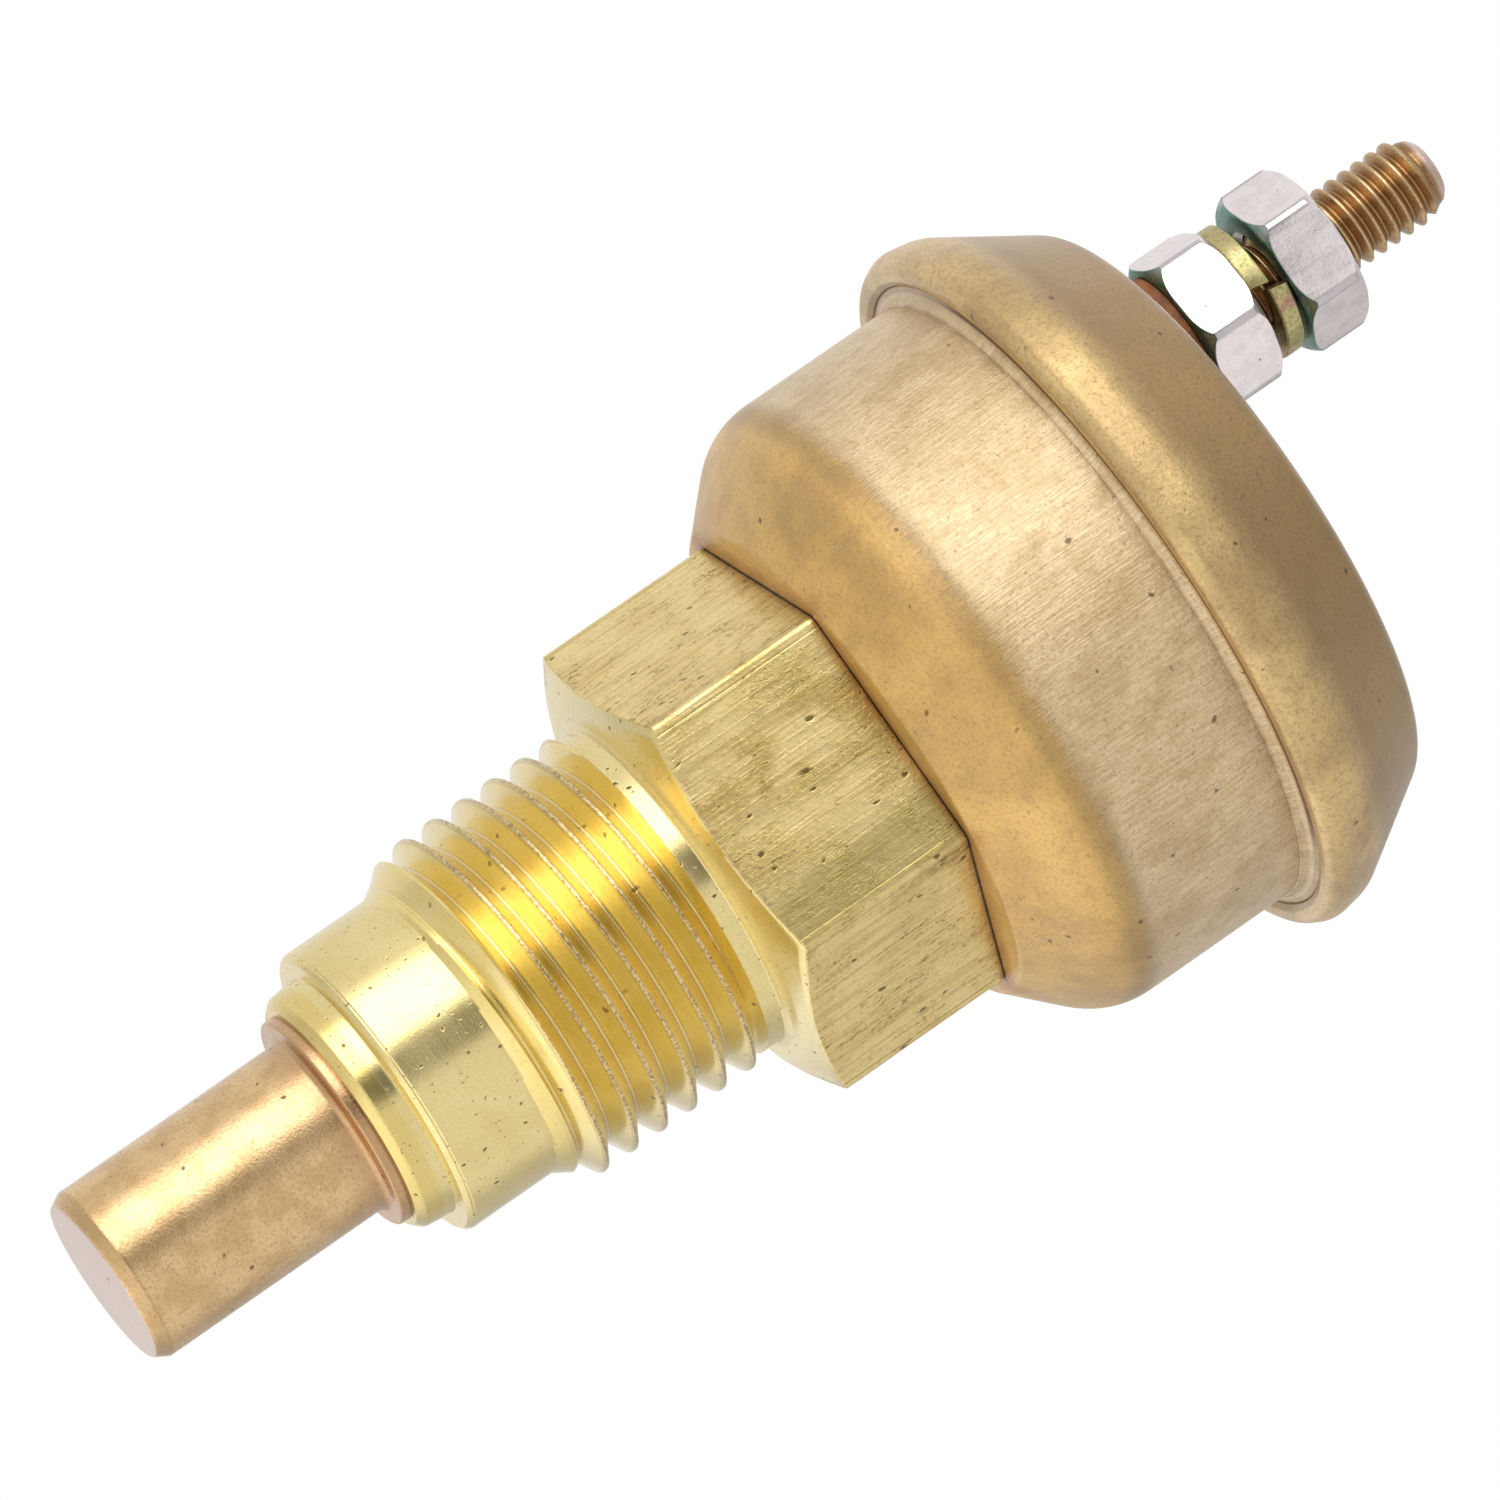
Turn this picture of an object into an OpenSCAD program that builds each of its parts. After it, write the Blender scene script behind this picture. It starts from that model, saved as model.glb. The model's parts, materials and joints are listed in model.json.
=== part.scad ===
// Pressure-operated thermo-switch: a screw-in hexagon body with a closed sensing bulb, a sheet-metal
// bell crimped to a domed cover, and one insulated, off-centre terminal stud.
// +Z runs up the axis towards the terminal. z = 0 is the hexagon's seat. All sizes are millimetres.

/* [Sensing bulb] */
// Outer diameter of the bulb
bulb_d = 8.1; // [7:0.1:8.6]
// Length of the bulb below its flange
bulb_l = 11.6; // [8:0.1:20]
// Wall of the bulb
bulb_wall = 0.5; // [0.4:0.1:0.9]
// Diameter of the flange soldered to the nose
bulb_flange_d = 10; // [9.4:0.1:11]
// Thickness of the flange
bulb_flange_t = 0.4; // [0.3:0.1:0.8]

/* [Threaded body] */
// Diameter of the small nose step
nose1_d = 11.5; // [11.2:0.1:12]
// Length of the small nose step
nose1_l = 1.75; // [1.5:0.05:3]
// Diameter of the large nose step
nose2_d = 13.6; // [13.2:0.1:14]
// Length of the large nose step
nose2_l = 4.25; // [3:0.05:6]
// Major diameter of the port thread
port_d = 16; // [15.9:0.1:16.4]
// Pitch of the port thread
port_pitch = 1.5; // [1.4:0.05:1.6]
// Number of crests on the port thread
port_crests = 7; // [5:1:9]
// Depth of the port thread
port_depth = 0.95; // [0.8:0.05:1.05]
// Hexagon across its flats
hex_af = 19; // [18.8:0.1:20]
// Height of the hexagon
hex_h = 9.1; // [8:0.1:11]
// Diameter of the charge passage
passage_d = 3; // [2:0.1:4]

/* [Bell and cover] */
// Outer diameter of the bell's straight wall
bell_d = 29.5; // [29:0.1:29.8]
// Sheet thickness of the bell
bell_t = 0.8; // [0.6:0.1:0.9]
// Height of the bell, from the seat of its floor to its flange
bell_h = 12.6; // [12.5:0.1:14]
// Radius of the bell's shoulder
shoulder_r = 3.8; // [3:0.1:4.5]
// Largest diameter of the crimped bead
bead_d = 33.36; // [33.3:0.02:33.6]
// Sheet thickness of the cover
cover_t = 0.7; // [0.6:0.05:0.75]
// Height of the cover above the bell's flange
cover_h = 6.75; // [6.75:0.05:8]
// Slope of the cover's side from the axis
cover_slope = 32; // [30:0.5:33]

/* [Terminal] */
// Distance of the terminal from the axis
terminal_offset = 6.85; // [6.2:0.05:7]
// Major diameter of the terminal thread
stud_d = 4; // [3.9:0.05:4.1]
// Pitch of the terminal thread
stud_pitch = 0.7; // [0.6:0.05:0.8]
// Number of crests left free above the terminal nut
stud_crests = 7; // [5:1:12]
// Nut across its flats
nut_af = 6.8; // [6.6:0.1:7]
// Height of a nut
nut_h = 2.95; // [2.6:0.05:3.2]
// Thickness of the split washer's section
washer_t = 0.92; // [0.8:0.02:1]

/* [Mechanism] */
// Travel of the push pin
pin_travel = 0.5; // [0.3:0.05:0.6]
// Distance of the contact arm's pivot from the axis
pivot_x = 7.5; // [7.2:0.1:8]
// Number of convolutions on the bellows
bellows_folds = 6; // [4:1:8]
// Number of turns on the range spring
spring_turns = 2.5; // [2:0.5:3]

/* [Hidden] */
$fn = 96;
SMALL = 48;          // facets of small turned pieces
EPS = 0.01;          // overlap that lets a cut break cleanly through a face

// shank of the threaded body, from the seat down to the bulb
neck_r = port_d / 2 - 0.35;
neck_l = 0.8625;
lead_l = 1.1;        // cone below the thread
port_land = port_pitch / 8;
thread_bot = -neck_l - (port_crests - 1) * port_pitch - port_land;
nose2_top = thread_bot - lead_l;
nose2_bot = nose2_top - nose2_l;
nose1_bot = nose2_bot - nose1_l;
seat_in_r = port_d / 2 + 0.1;
seat_out_r = seat_in_r + 0.35;
hex_chamfer = 0.37;  // rise of the seat chamfer for each millimetre of radius
spigot_r = 9;
roll_r = spigot_r + 0.9;
roll_h = 0.7;
bulb_neck_r = bulb_d / 2 - 0.65;
bulb_neck_l = 3.6;

// bell and cover
bell_r = bell_d / 2;
flange_z = hex_h + bell_h;          // underside of the bell's flange
flange_top = flange_z + 0.7;
flange_r = 15.85;
bead_r = bead_d / 2;
bead_round = 2.2;
bead_z = flange_z + 1.02;
cover_top = flange_z + cover_h;
roof_z = cover_top - cover_t;
lip_in_r = 15.75;
rim_round = 1.5;

// terminal stack, from the cover's top up
hole_r = 2.78;
seal_h = 0.85;
seal_out_r = 3.3;
washer_gap = 1.6;
ins_h = 1.5;
ins_out_r = 3.1;
seal_top = cover_top + seal_h;
lower_nut_z = seal_top + ins_h;
lock_z = lower_nut_z + nut_h;
nut_z = lock_z + washer_gap;
stud_core_r = stud_d / 2 - 0.22;
stud_root_r = stud_d / 2 - 0.38;
stud_land = stud_pitch / 4;
stud_free_z = nut_z + nut_h + 0.1;
stud_thread_end = stud_free_z + (stud_crests - 1) * stud_pitch + stud_land;
stud_end = stud_thread_end + 1.175;
stud_clear_r = stud_core_r + 0.05;
nut_bore_r = stud_d / 2 + 0.03;
nut_round_r = 3.86;
nut_chamfer = 0.38;   // height of the cone at each end
head_h = 0.7;
head_r = 2.6;
inner_ins_h = 0.55;
head_z = roof_z - inner_ins_h - head_h;
fixed_contact_h = 0.3;
contact_r = 1.3;

// sealed mechanism
plate_h = 1;
plate_r = flange_r - 0.2;
plate_top = flange_top + plate_h;
ring_t = 0.1;
arm_t = 0.5;
arm_w = 4;
eye_r = 0.95;
pivot_pin_r = 0.45;
run_gap = 0.05;      // radial running clearance of the mechanism's pins
pivot_z = plate_top + eye_r + 0.2;
arm_z = pivot_z - arm_t / 2;
pin_r = 1;
pin_gap = 0.05;      // gap between the push pin and the arm at rest
bush_r = 2;
bracket_t = 0.4;
ear_in = arm_w / 2 + 0.9;
rivet_x = pivot_x + 2.4;
rivet_y = 2.3;
rivet_r = 0.4;
rivet_head_r = 2 * rivet_r;
bellows_z = hex_h + bell_t + roll_h + 1;
bellows_h = 5.6;
cap_z = bellows_z + bellows_h;
cap_h = 0.8;
spring_z = cap_z + cap_h;
spring_wire = 0.9;
spring_r = 4;

// Points of an arc about [cx, cy], from angle a0 to a1 in n steps
function arc(cx, cy, r, a0, a1, n = 10) =
    [for (i = [0:n]) let (a = a0 + (a1 - a0) * i / n) [cx + r * cos(a), cy + r * sin(a)]];

// Outline of a ring thread whose first land starts at z: flat crests of width land, 60 degree flanks
function ring_thread(z, crests, pitch, r, root, land) =
    let (flank = (r - root) * tan(30))
    [for (i = [0:crests - 1]) let (a = z + i * pitch)
        each concat(i == 0 ? [] : [[root, a - flank]],
                    [[r, a], [r, a + land]],
                    i == crests - 1 ? [] : [[root, a + land + flank]])];

// Centre line of a coil of n steps a turn, about the Z axis
function coil_path(r, z0, z1, turns, n) =
    [for (i = [0:turns * n]) let (t = i / (turns * n), a = 360 * turns * t)
        [r * cos(a), r * sin(a), z0 + (z1 - z0) * t]];

// A round wire of s sides swept along a coil's centre line
module coil(r, z0, z1, turns, wire, n = 24, s = 8) {
    path = coil_path(r, z0, z1, turns, n);
    last = len(path) - 1;
    points = [for (p = path) let (d = norm([p.x, p.y]), u = [p.x / d, p.y / d, 0])
        for (j = [0:s - 1]) let (a = 360 * j / s) p + wire / 2 * (cos(a) * u + [0, 0, sin(a)])];
    sides = [for (i = [0:last - 1], j = [0:s - 1]) let (k = (j + 1) % s)
        each [[i * s + j, (i + 1) * s + j, (i + 1) * s + k], [i * s + j, (i + 1) * s + k, i * s + k]]];
    ends = [[for (j = [0:s - 1]) j], [for (j = [s - 1:-1:0]) last * s + j]];
    polyhedron(points, concat(sides, ends), convexity = 4);
}

// A flat ring between two radii
module ring(r_in, r_out, z, h, fn = SMALL) {
    rotate_extrude($fn = fn) translate([r_in, z]) square([r_out - r_in, h]);
}

// Moves its children onto the terminal's axis
module at_terminal() {
    translate([-terminal_offset, 0, 0]) children();
}

// A hexagon with its flats' corners rounded off by a cone at both ends; turn is about its own axis
module hexagon_nut(z, turn) {
    face_r = nut_af / 2 - 0.15;
    top = z + nut_h;
    intersection() {
        rotate([0, 0, turn]) translate([0, 0, z]) cylinder(r = nut_af / sqrt(3), h = nut_h, $fn = 6);
        rotate_extrude($fn = SMALL) difference() {
            polygon([[0, z], [face_r, z], [nut_round_r, z + nut_chamfer],
                     [nut_round_r, top - nut_chamfer], [face_r, top], [0, top]]);
            polygon([[-1, z - 1], [nut_bore_r, z - 1], [nut_bore_r, top + 1], [-1, top + 1]]);
        }
    }
}

// Closed bulb with a soldering flange and a neck that enters the nose
module sensing_bulb() {
    r = bulb_d / 2;
    tip = nose1_bot - bulb_flange_t - bulb_l;
    inner = bulb_neck_r - bulb_wall;
    flange_bot = nose1_bot - bulb_flange_t;
    color("peru") rotate_extrude($fn = 64) polygon(concat(
        [[0, tip], [r - 0.35, tip], [r, tip + 0.6], [r, flange_bot], [bulb_flange_d / 2, flange_bot],
         [bulb_flange_d / 2, nose1_bot], [bulb_neck_r, nose1_bot], [bulb_neck_r, nose1_bot + bulb_neck_l],
         [inner, nose1_bot + bulb_neck_l], [inner, flange_bot - 0.6], [r - bulb_wall, flange_bot - 1.2],
         [r - bulb_wall, tip + 0.9], [0, tip + 0.9]]));
}

// Outline of the shank, from the bottom of the nose up to the seat
function shank_outline() = concat(
    [[0, nose1_bot], [nose1_d / 2 - 0.35, nose1_bot]],
    arc(nose1_d / 2 - 0.45, nose1_bot + 0.45, 0.45, -70, 0, 4),
    [[nose1_d / 2, nose2_bot - 0.2], [nose1_d / 2 + 0.15, nose2_bot]],
    arc(nose2_d / 2 - 0.25, nose2_bot + 0.25, 0.25, -90, 0, 4),
    [[nose2_d / 2, nose2_top], [neck_r, thread_bot - 0.2]],
    ring_thread(thread_bot, port_crests, port_pitch, port_d / 2, port_d / 2 - port_depth, port_land),
    [[neck_r, 0.2 - neck_l], [neck_r, -0.35], [seat_in_r, 0], [0, 0]]);

// Hexagon and thread turned from one bar, with a spigot that is rolled over inside the bell
module hex_body() {
    far = hex_af / sqrt(3);
    flats_top = hex_h + bell_t;
    color("goldenrod") difference() {
        union() {
            rotate_extrude() polygon(shank_outline());
            intersection() {
                rotate([0, 0, -2.5]) cylinder(r = far, h = hex_h, $fn = 6);
                rotate_extrude() polygon([[0, 0], [seat_out_r, 0],
                    [far + 1, (far + 1 - seat_out_r) * hex_chamfer], [far + 1, hex_h], [0, hex_h]]);
            }
            translate([0, 0, hex_h - EPS]) cylinder(r = spigot_r, h = bell_t + roll_h + EPS);
            rotate_extrude() polygon([[0, flats_top], [roll_r, flats_top], [roll_r, flats_top + 0.3],
                [roll_r - 0.4, flats_top + roll_h], [0, flats_top + roll_h]]);
        }
        translate([0, 0, nose1_bot - 1]) cylinder(d = passage_d, h = 60, $fn = SMALL);
        translate([0, 0, nose1_bot - EPS]) cylinder(r = bulb_neck_r, h = bulb_neck_l + EPS, $fn = 64);
    }
}

// Outer outline of the bell, offset inwards by t and lifted by t at its floor
function bell_outline(t) =
    let (r = bell_r - t, round = shoulder_r - t,
         cone_top = hex_h + shoulder_r * tan(22.5) + 3.25,
         c = [r - round, cone_top])
    concat([[r - round * (1 - cos(45)) - (cone_top - round * sin(45) - hex_h - t), hex_h + t]],
           arc(c.x, c.y, round, -45, 0, 12));

// Deep-drawn bell: floor round the spigot, sloped shoulder, straight wall and an outward flange
module bell_case() {
    flare = 0.9;
    in_r = bell_r - bell_t;
    color("tan") rotate_extrude() polygon(concat(
        [[spigot_r, hex_h]],
        bell_outline(0),
        arc(bell_r + flare, flange_z - 0.5, flare, 180, 146, 5),
        [[flange_r - 0.4, flange_z], [flange_r, flange_z], [flange_r, flange_top], [in_r, flange_top]],
        [for (p = [len(bell_outline(0)) - 1:-1:0]) bell_outline(bell_t)[p]],
        [[spigot_r, hex_h + bell_t]]));
}

// Radius of the cover's sloping side at a height, moved inwards by t
function cover_side(z, t) =
    bead_r - bead_round + bead_round / cos(cover_slope) - t / cos(cover_slope)
    - (z - bead_z) * tan(cover_slope);

// Domed cover: flat top, rounded rim, sloping side and a bead rolled in under the bell's flange
module cover_shell() {
    turn = 45 - cover_slope / 2;
    corner_r = cover_side(cover_top, 0);
    rim_c = [corner_r - rim_round * tan(turn), cover_top - rim_round];
    wall_r = flange_r + 0.05;
    bend_z = bead_z + (cover_side(bead_z, cover_t) - wall_r) / tan(cover_slope);
    rotate_extrude() polygon(concat(
        [[0, cover_top]],
        arc(rim_c.x, rim_c.y, rim_round, 90, cover_slope, 8),
        arc(bead_r - bead_round, bead_z, bead_round, cover_slope, -22, 12),
        arc(bead_r - 0.68, flange_z + 0.15, 0.4, -25, -85, 4),
        [[lip_in_r, flange_z - 0.25], [lip_in_r, flange_z - EPS], [wall_r, flange_z - EPS],
         [wall_r, bend_z], [cover_side(roof_z, cover_t), roof_z], [0, roof_z]]));
}

module top_cover() {
    color("tan") difference() {
        cover_shell();
        at_terminal() translate([0, 0, roof_z - 1]) cylinder(r = hole_r, h = cover_t + 2, $fn = SMALL);
    }
}

// Soft ring squeezed between the base plate and the cover's side
module crimp_gasket() {
    z = plate_top + ring_t;
    color("dimgray") rotate_extrude() polygon([[14.3, z], [cover_side(z, cover_t) - 0.15, z],
        [cover_side(z + 0.4, cover_t) - 0.15, z + 0.4], [14.3, z + 0.4]]);
}

// Thin ring with a tab that earths the bracket to the crimped rim
module earth_ring() {
    color("gold") union() {
        ring(14.4, 15.6, plate_top, ring_t, 96);
        translate([pivot_x + 1.7, -1.5, plate_top]) cube([14.8 - pivot_x - 1.7, 3, ring_t]);
    }
}

// Moulded disc held in the crimp, which carries the contacts and guides the push pin
module base_plate() {
    color("saddlebrown") difference() {
        translate([0, 0, flange_top]) cylinder(r = plate_r, h = plate_h);
        translate([0, 0, flange_top - 1]) cylinder(r = bush_r, h = plate_h + 2, $fn = SMALL);
        for (side = [-1, 1])
            translate([rivet_x, side * rivet_y, flange_top - 1])
                cylinder(r = rivet_r, h = plate_h + 2, $fn = 24);
    }
}

// Ring soldered on the spigot, which the bellows is fixed to
module bellows_ring() {
    color("darkgoldenrod") rotate_extrude($fn = 64) polygon([[4.2, bellows_z - 1], [8.2, bellows_z - 1],
        [8.2, bellows_z - 0.4], [7.6, bellows_z], [4.2, bellows_z]]);
}

// Thin-walled bellows, open at the bottom and closed by its cap
module bellows() {
    wall = 0.2;
    crest_r = 7.6;
    root_r = 5.6;
    fold = bellows_h / bellows_folds;
    outside = [for (i = [0:bellows_folds - 1]) let (z = bellows_z + i * fold)
        each [[root_r, z], [crest_r, z + fold * 0.4], [crest_r, z + fold * 0.6]]];
    inside = [for (i = [bellows_folds - 1:-1:0]) let (z = bellows_z + i * fold)
        each [[crest_r - wall, z + fold * 0.55], [crest_r - wall, z + fold * 0.45], [root_r - wall, z]]];
    color("burlywood") rotate_extrude($fn = 48) polygon(concat(outside,
        [[root_r, bellows_z + bellows_h], [root_r - wall, bellows_z + bellows_h]], inside));
}

// Cap that closes the bellows and seats the spring
module bellows_cap() {
    color("darkgoldenrod") rotate_extrude($fn = 64) polygon([[0, cap_z], [6.4, cap_z], [6.4, spring_z],
        [spring_r - spring_wire / 2 - 0.1, spring_z], [2.8, spring_z + 0.7], [pin_r, spring_z + 0.7],
        [pin_r, spring_z], [0, spring_z]]);
}

// Spring that sets the switching point: flattened by the cap below and the base plate above
module range_spring() {
    color("slategray")
        coil(spring_r, spring_z + spring_wire / 2, flange_top - spring_wire / 2, spring_turns, spring_wire);
}

// Pin that lifts the contact arm, with a domed tip
module push_pin() {
    tip = arm_z - pin_gap;
    dome = 0.35;
    ball = (pin_r * pin_r + dome * dome) / (2 * dome);
    open = asin(pin_r / ball);
    color("silver") rotate_extrude($fn = SMALL) polygon(concat(
        [[0, spring_z], [pin_r, spring_z]],
        arc(0, tip - ball, ball, 90 - open, 90, 6)));
}

// Flanged bush that guides the push pin through the base plate
module guide_bush() {
    color("gold") rotate_extrude($fn = SMALL) polygon([[pin_r + run_gap, flange_top - 0.8],
        [2.6, flange_top - 0.8], [2.6, flange_top], [bush_r, flange_top], [bush_r, plate_top + 0.15],
        [pin_r + run_gap, plate_top + 0.15]]);
}

// Folded bracket with two ears that hold the pivot pin, and a window under the arm's eye
module pivot_bracket() {
    t = bracket_t;
    z = plate_top + ring_t;
    ear_r = pivot_z - z;
    window = ear_in - 0.4;
    length = 5.2;
    color("gold") difference() {
        union() {
            translate([pivot_x - 1.6, -ear_in - t, z]) cube([length, 2 * (ear_in + t), t]);
            for (side = [-1, 1]) translate([0, side * (ear_in + t / 2), 0]) {
                translate([pivot_x - ear_r, -t / 2, z]) cube([2 * ear_r, t, ear_r]);
                translate([pivot_x, 0, pivot_z]) rotate([90, 0, 0])
                    cylinder(r = ear_r, h = t, center = true, $fn = SMALL);
            }
        }
        translate([pivot_x - 1.3, -window, z - 1]) cube([2.6, 2 * window, 2]);
        translate([pivot_x, 0, pivot_z]) rotate([90, 0, 0])
            cylinder(r = pivot_pin_r, h = 20, center = true, $fn = SMALL);
        for (side = [-1, 1])
            translate([rivet_x, side * rivet_y, z - 1]) cylinder(r = rivet_r, h = 3, $fn = 24);
    }
}

// Rivets that fix the bracket to the base plate
module bracket_rivets() {
    head = 0.35;
    top = plate_top + ring_t + bracket_t;
    color("darkgoldenrod") for (side = [-1, 1]) translate([rivet_x, side * rivet_y, 0])
        rotate_extrude($fn = 24) polygon([[0, flange_top - head], [rivet_head_r, flange_top - head],
            [rivet_head_r, flange_top], [rivet_r, flange_top], [rivet_r, top], [rivet_head_r, top],
            [rivet_head_r - 0.2, top + head], [0, top + head]]);
}

// Pin that the contact arm turns on, headed at both ends
module pivot_pin() {
    half = ear_in + bracket_t;
    head = 0.3;
    head_out_r = pivot_pin_r + 0.3;
    color("silver") translate([pivot_x, 0, pivot_z]) rotate([90, 0, 0]) rotate_extrude($fn = SMALL)
        polygon([[0, -half - head], [head_out_r, -half - head], [head_out_r, -half], [pivot_pin_r, -half],
                 [pivot_pin_r, half], [head_out_r, half], [head_out_r, half + head], [0, half + head]]);
}

// Lever with an eye on the pivot pin and the moving contact at its free end
module contact_arm() {
    color("gold") difference() {
        union() {
            translate([-terminal_offset, 0, arm_z]) cylinder(r = 1.6, h = arm_t, $fn = SMALL);
            translate([-terminal_offset, -arm_w / 2 + 0.6, arm_z])
                cube([terminal_offset + pivot_x, arm_w - 1.2, arm_t]);
            translate([pivot_x, 0, pivot_z]) rotate([90, 0, 0])
                cylinder(r = eye_r, h = arm_w - 1.2, center = true, $fn = SMALL);
        }
        translate([pivot_x, 0, pivot_z]) rotate([90, 0, 0])
            cylinder(r = pivot_pin_r + run_gap, h = arm_w + 1, center = true, $fn = SMALL);
        translate([-terminal_offset, 0, arm_z - 1]) cylinder(r = 0.5, h = arm_t + 2, $fn = 24);
    }
}

// Light torsion spring on the pivot pin, which keeps the contacts apart when the charge is cold
module arm_return_spring() {
    color("slategray") translate([pivot_x, 0, pivot_z]) rotate([90, 0, 0])
        coil(r = 0.72, z0 = 1.6, z1 = 2.3, turns = 2, wire = 0.24, n = 20);
}

// Riveted button with a domed face
module moving_contact() {
    z = arm_z + arm_t;
    color("lightgray") at_terminal() rotate_extrude($fn = SMALL) polygon([[0, arm_z - 0.2],
        [0.8, arm_z - 0.2], [0.8, arm_z], [0.5, arm_z], [0.5, z], [1.1, z], [1.1, z + 0.2],
        [0.8, z + 0.32], [0.4, z + 0.39], [0, z + 0.4]]);
}

// Flat contact under the head of the terminal stud
module fixed_contact() {
    color("lightgray") at_terminal() translate([0, 0, head_z - fixed_contact_h])
        cylinder(r = contact_r, h = fixed_contact_h, $fn = SMALL);
}

// Headed stud: plain where it is covered, threaded above the terminal nut
module terminal_stud() {
    color("sienna") at_terminal() rotate_extrude($fn = 64) polygon(concat(
        [[0, head_z], [head_r, head_z], [head_r, head_z + head_h], [stud_core_r, head_z + head_h],
         [stud_core_r, stud_free_z - 0.3], [stud_root_r, stud_free_z - 0.2]],
        ring_thread(stud_free_z, stud_crests, stud_pitch, stud_d / 2, stud_root_r, stud_land),
        [[stud_root_r, stud_thread_end + 0.22], [stud_root_r, stud_end - 0.5], [stud_root_r - 0.4, stud_end],
         [0, stud_end]]));
}

module inner_insulator() {
    color("firebrick") at_terminal() ring(stud_clear_r, 3.4, roof_z - inner_ins_h, inner_ins_h);
}

// Sleeve that keeps the stud clear of the cover's hole
module insulator_bush() {
    color("saddlebrown") at_terminal() ring(stud_clear_r, hole_r - 0.04, roof_z, cover_t + seal_h);
}

module seal_ring() {
    color("black") at_terminal() ring(hole_r, seal_out_r, cover_top, seal_h);
}

module insulating_washer() {
    color("chocolate") at_terminal() ring(stud_clear_r, ins_out_r, seal_top, ins_h);
}

module lower_nut() {
    color("gainsboro") at_terminal() hexagon_nut(lower_nut_z, -17.5);
}

// Split spring washer: a flat ring cut through and sprung so that one end stands higher
module lock_washer() {
    r_in = 2.12;
    r_out = 3.2;
    split = 276;
    half_gap = 4;
    slack = 0.03;
    rise = washer_gap - 2 * slack - washer_t;
    steps = 48;
    points = [for (i = [0:steps]) let (t = i / steps, a = split + half_gap + (360 - 2 * half_gap) * t,
                                       z = lock_z + slack + rise * (1 - t) * (1 - t))
        each [[r_in * cos(a), r_in * sin(a), z], [r_out * cos(a), r_out * sin(a), z],
              [r_out * cos(a), r_out * sin(a), z + washer_t], [r_in * cos(a), r_in * sin(a), z + washer_t]]];
    sides = [for (i = [0:steps - 1], j = [0:3]) let (a = 4 * i, b = a + 4, k = (j + 1) % 4)
        each [[a + j, b + j, b + k], [a + j, b + k, a + k]]];
    color("darkkhaki") at_terminal()
        polyhedron(points, concat(sides, [[0, 1, 2, 3], [for (j = [3:-1:0]) 4 * steps + j]]), convexity = 4);
}

module terminal_nut() {
    color("gainsboro") at_terminal() hexagon_nut(nut_z, 3.5);
}

sensing_bulb();
hex_body();
bell_case();
top_cover();
crimp_gasket();
earth_ring();
base_plate();
bellows_ring();
bellows();
bellows_cap();
range_spring();
push_pin();
guide_bush();
pivot_bracket();
bracket_rivets();
pivot_pin();
contact_arm();
arm_return_spring();
moving_contact();
fixed_contact();
terminal_stud();
inner_insulator();
insulator_bush();
seal_ring();
insulating_washer();
lower_nut();
lock_washer();
terminal_nut();
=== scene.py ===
"""Looks of the pressure switch: turned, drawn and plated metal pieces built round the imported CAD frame."""
import json
import math

import bmesh
import bpy
import numpy as np
from mathutils import Matrix, Vector, noise


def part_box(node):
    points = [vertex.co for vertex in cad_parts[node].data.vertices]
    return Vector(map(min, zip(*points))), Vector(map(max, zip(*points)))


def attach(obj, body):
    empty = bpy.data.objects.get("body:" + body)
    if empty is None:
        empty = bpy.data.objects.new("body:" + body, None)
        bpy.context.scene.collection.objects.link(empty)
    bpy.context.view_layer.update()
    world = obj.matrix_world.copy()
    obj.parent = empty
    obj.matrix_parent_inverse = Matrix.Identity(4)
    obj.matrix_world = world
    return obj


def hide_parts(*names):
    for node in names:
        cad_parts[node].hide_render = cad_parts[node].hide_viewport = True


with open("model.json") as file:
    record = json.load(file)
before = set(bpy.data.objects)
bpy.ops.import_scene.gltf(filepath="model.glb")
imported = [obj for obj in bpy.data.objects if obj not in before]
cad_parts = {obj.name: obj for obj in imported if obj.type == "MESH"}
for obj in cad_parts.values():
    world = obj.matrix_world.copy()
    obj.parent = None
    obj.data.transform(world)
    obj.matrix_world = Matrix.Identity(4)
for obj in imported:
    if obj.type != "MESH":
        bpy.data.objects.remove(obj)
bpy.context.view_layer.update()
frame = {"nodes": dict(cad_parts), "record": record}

MM = 0.001               # outlines are worked out in millimetres and built in metres

# -------------------- sizes from the frame
MOUNTS = {m["name"]: m for m in frame["record"]["mounts"]}


def box_mm(node):
    """Lowest and highest corner of a CAD node, in millimetres."""
    low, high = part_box(node)
    return low / MM, high / MM


BULB = box_mm("sensing_bulb")
BODY = box_mm("hex_body")
BELL = box_mm("bell_case")
COVER = box_mm("top_cover")
SEAL = box_mm("seal_ring")
FIBRE = box_mm("insulating_washer")
LOWER_NUT = box_mm("lower_nut")
LOCK = box_mm("lock_washer")
TOP_NUT = box_mm("terminal_nut")
STUD = box_mm("terminal_stud")

TIP_Z = BULB[0].z
NOSE_Z = BODY[0].z                       # lower end of the brass body
HEX_TOP = BELL[0].z
BODY_TOP = BODY[1].z
FLANGE_TOP = BELL[1].z
FLANGE_Z = FLANGE_TOP - 0.7              # underside of the bell's flange
COVER_TOP = COVER[1].z
BEAD_R = COVER[1].y
STUD_X = (STUD[0].x + STUD[1].x) / 2
PORT_R = MOUNTS["port_thread"]["dims"]["r_mm"]
STUD_R = MOUNTS["terminal_stud"]["dims"]["r_mm"]

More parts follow.
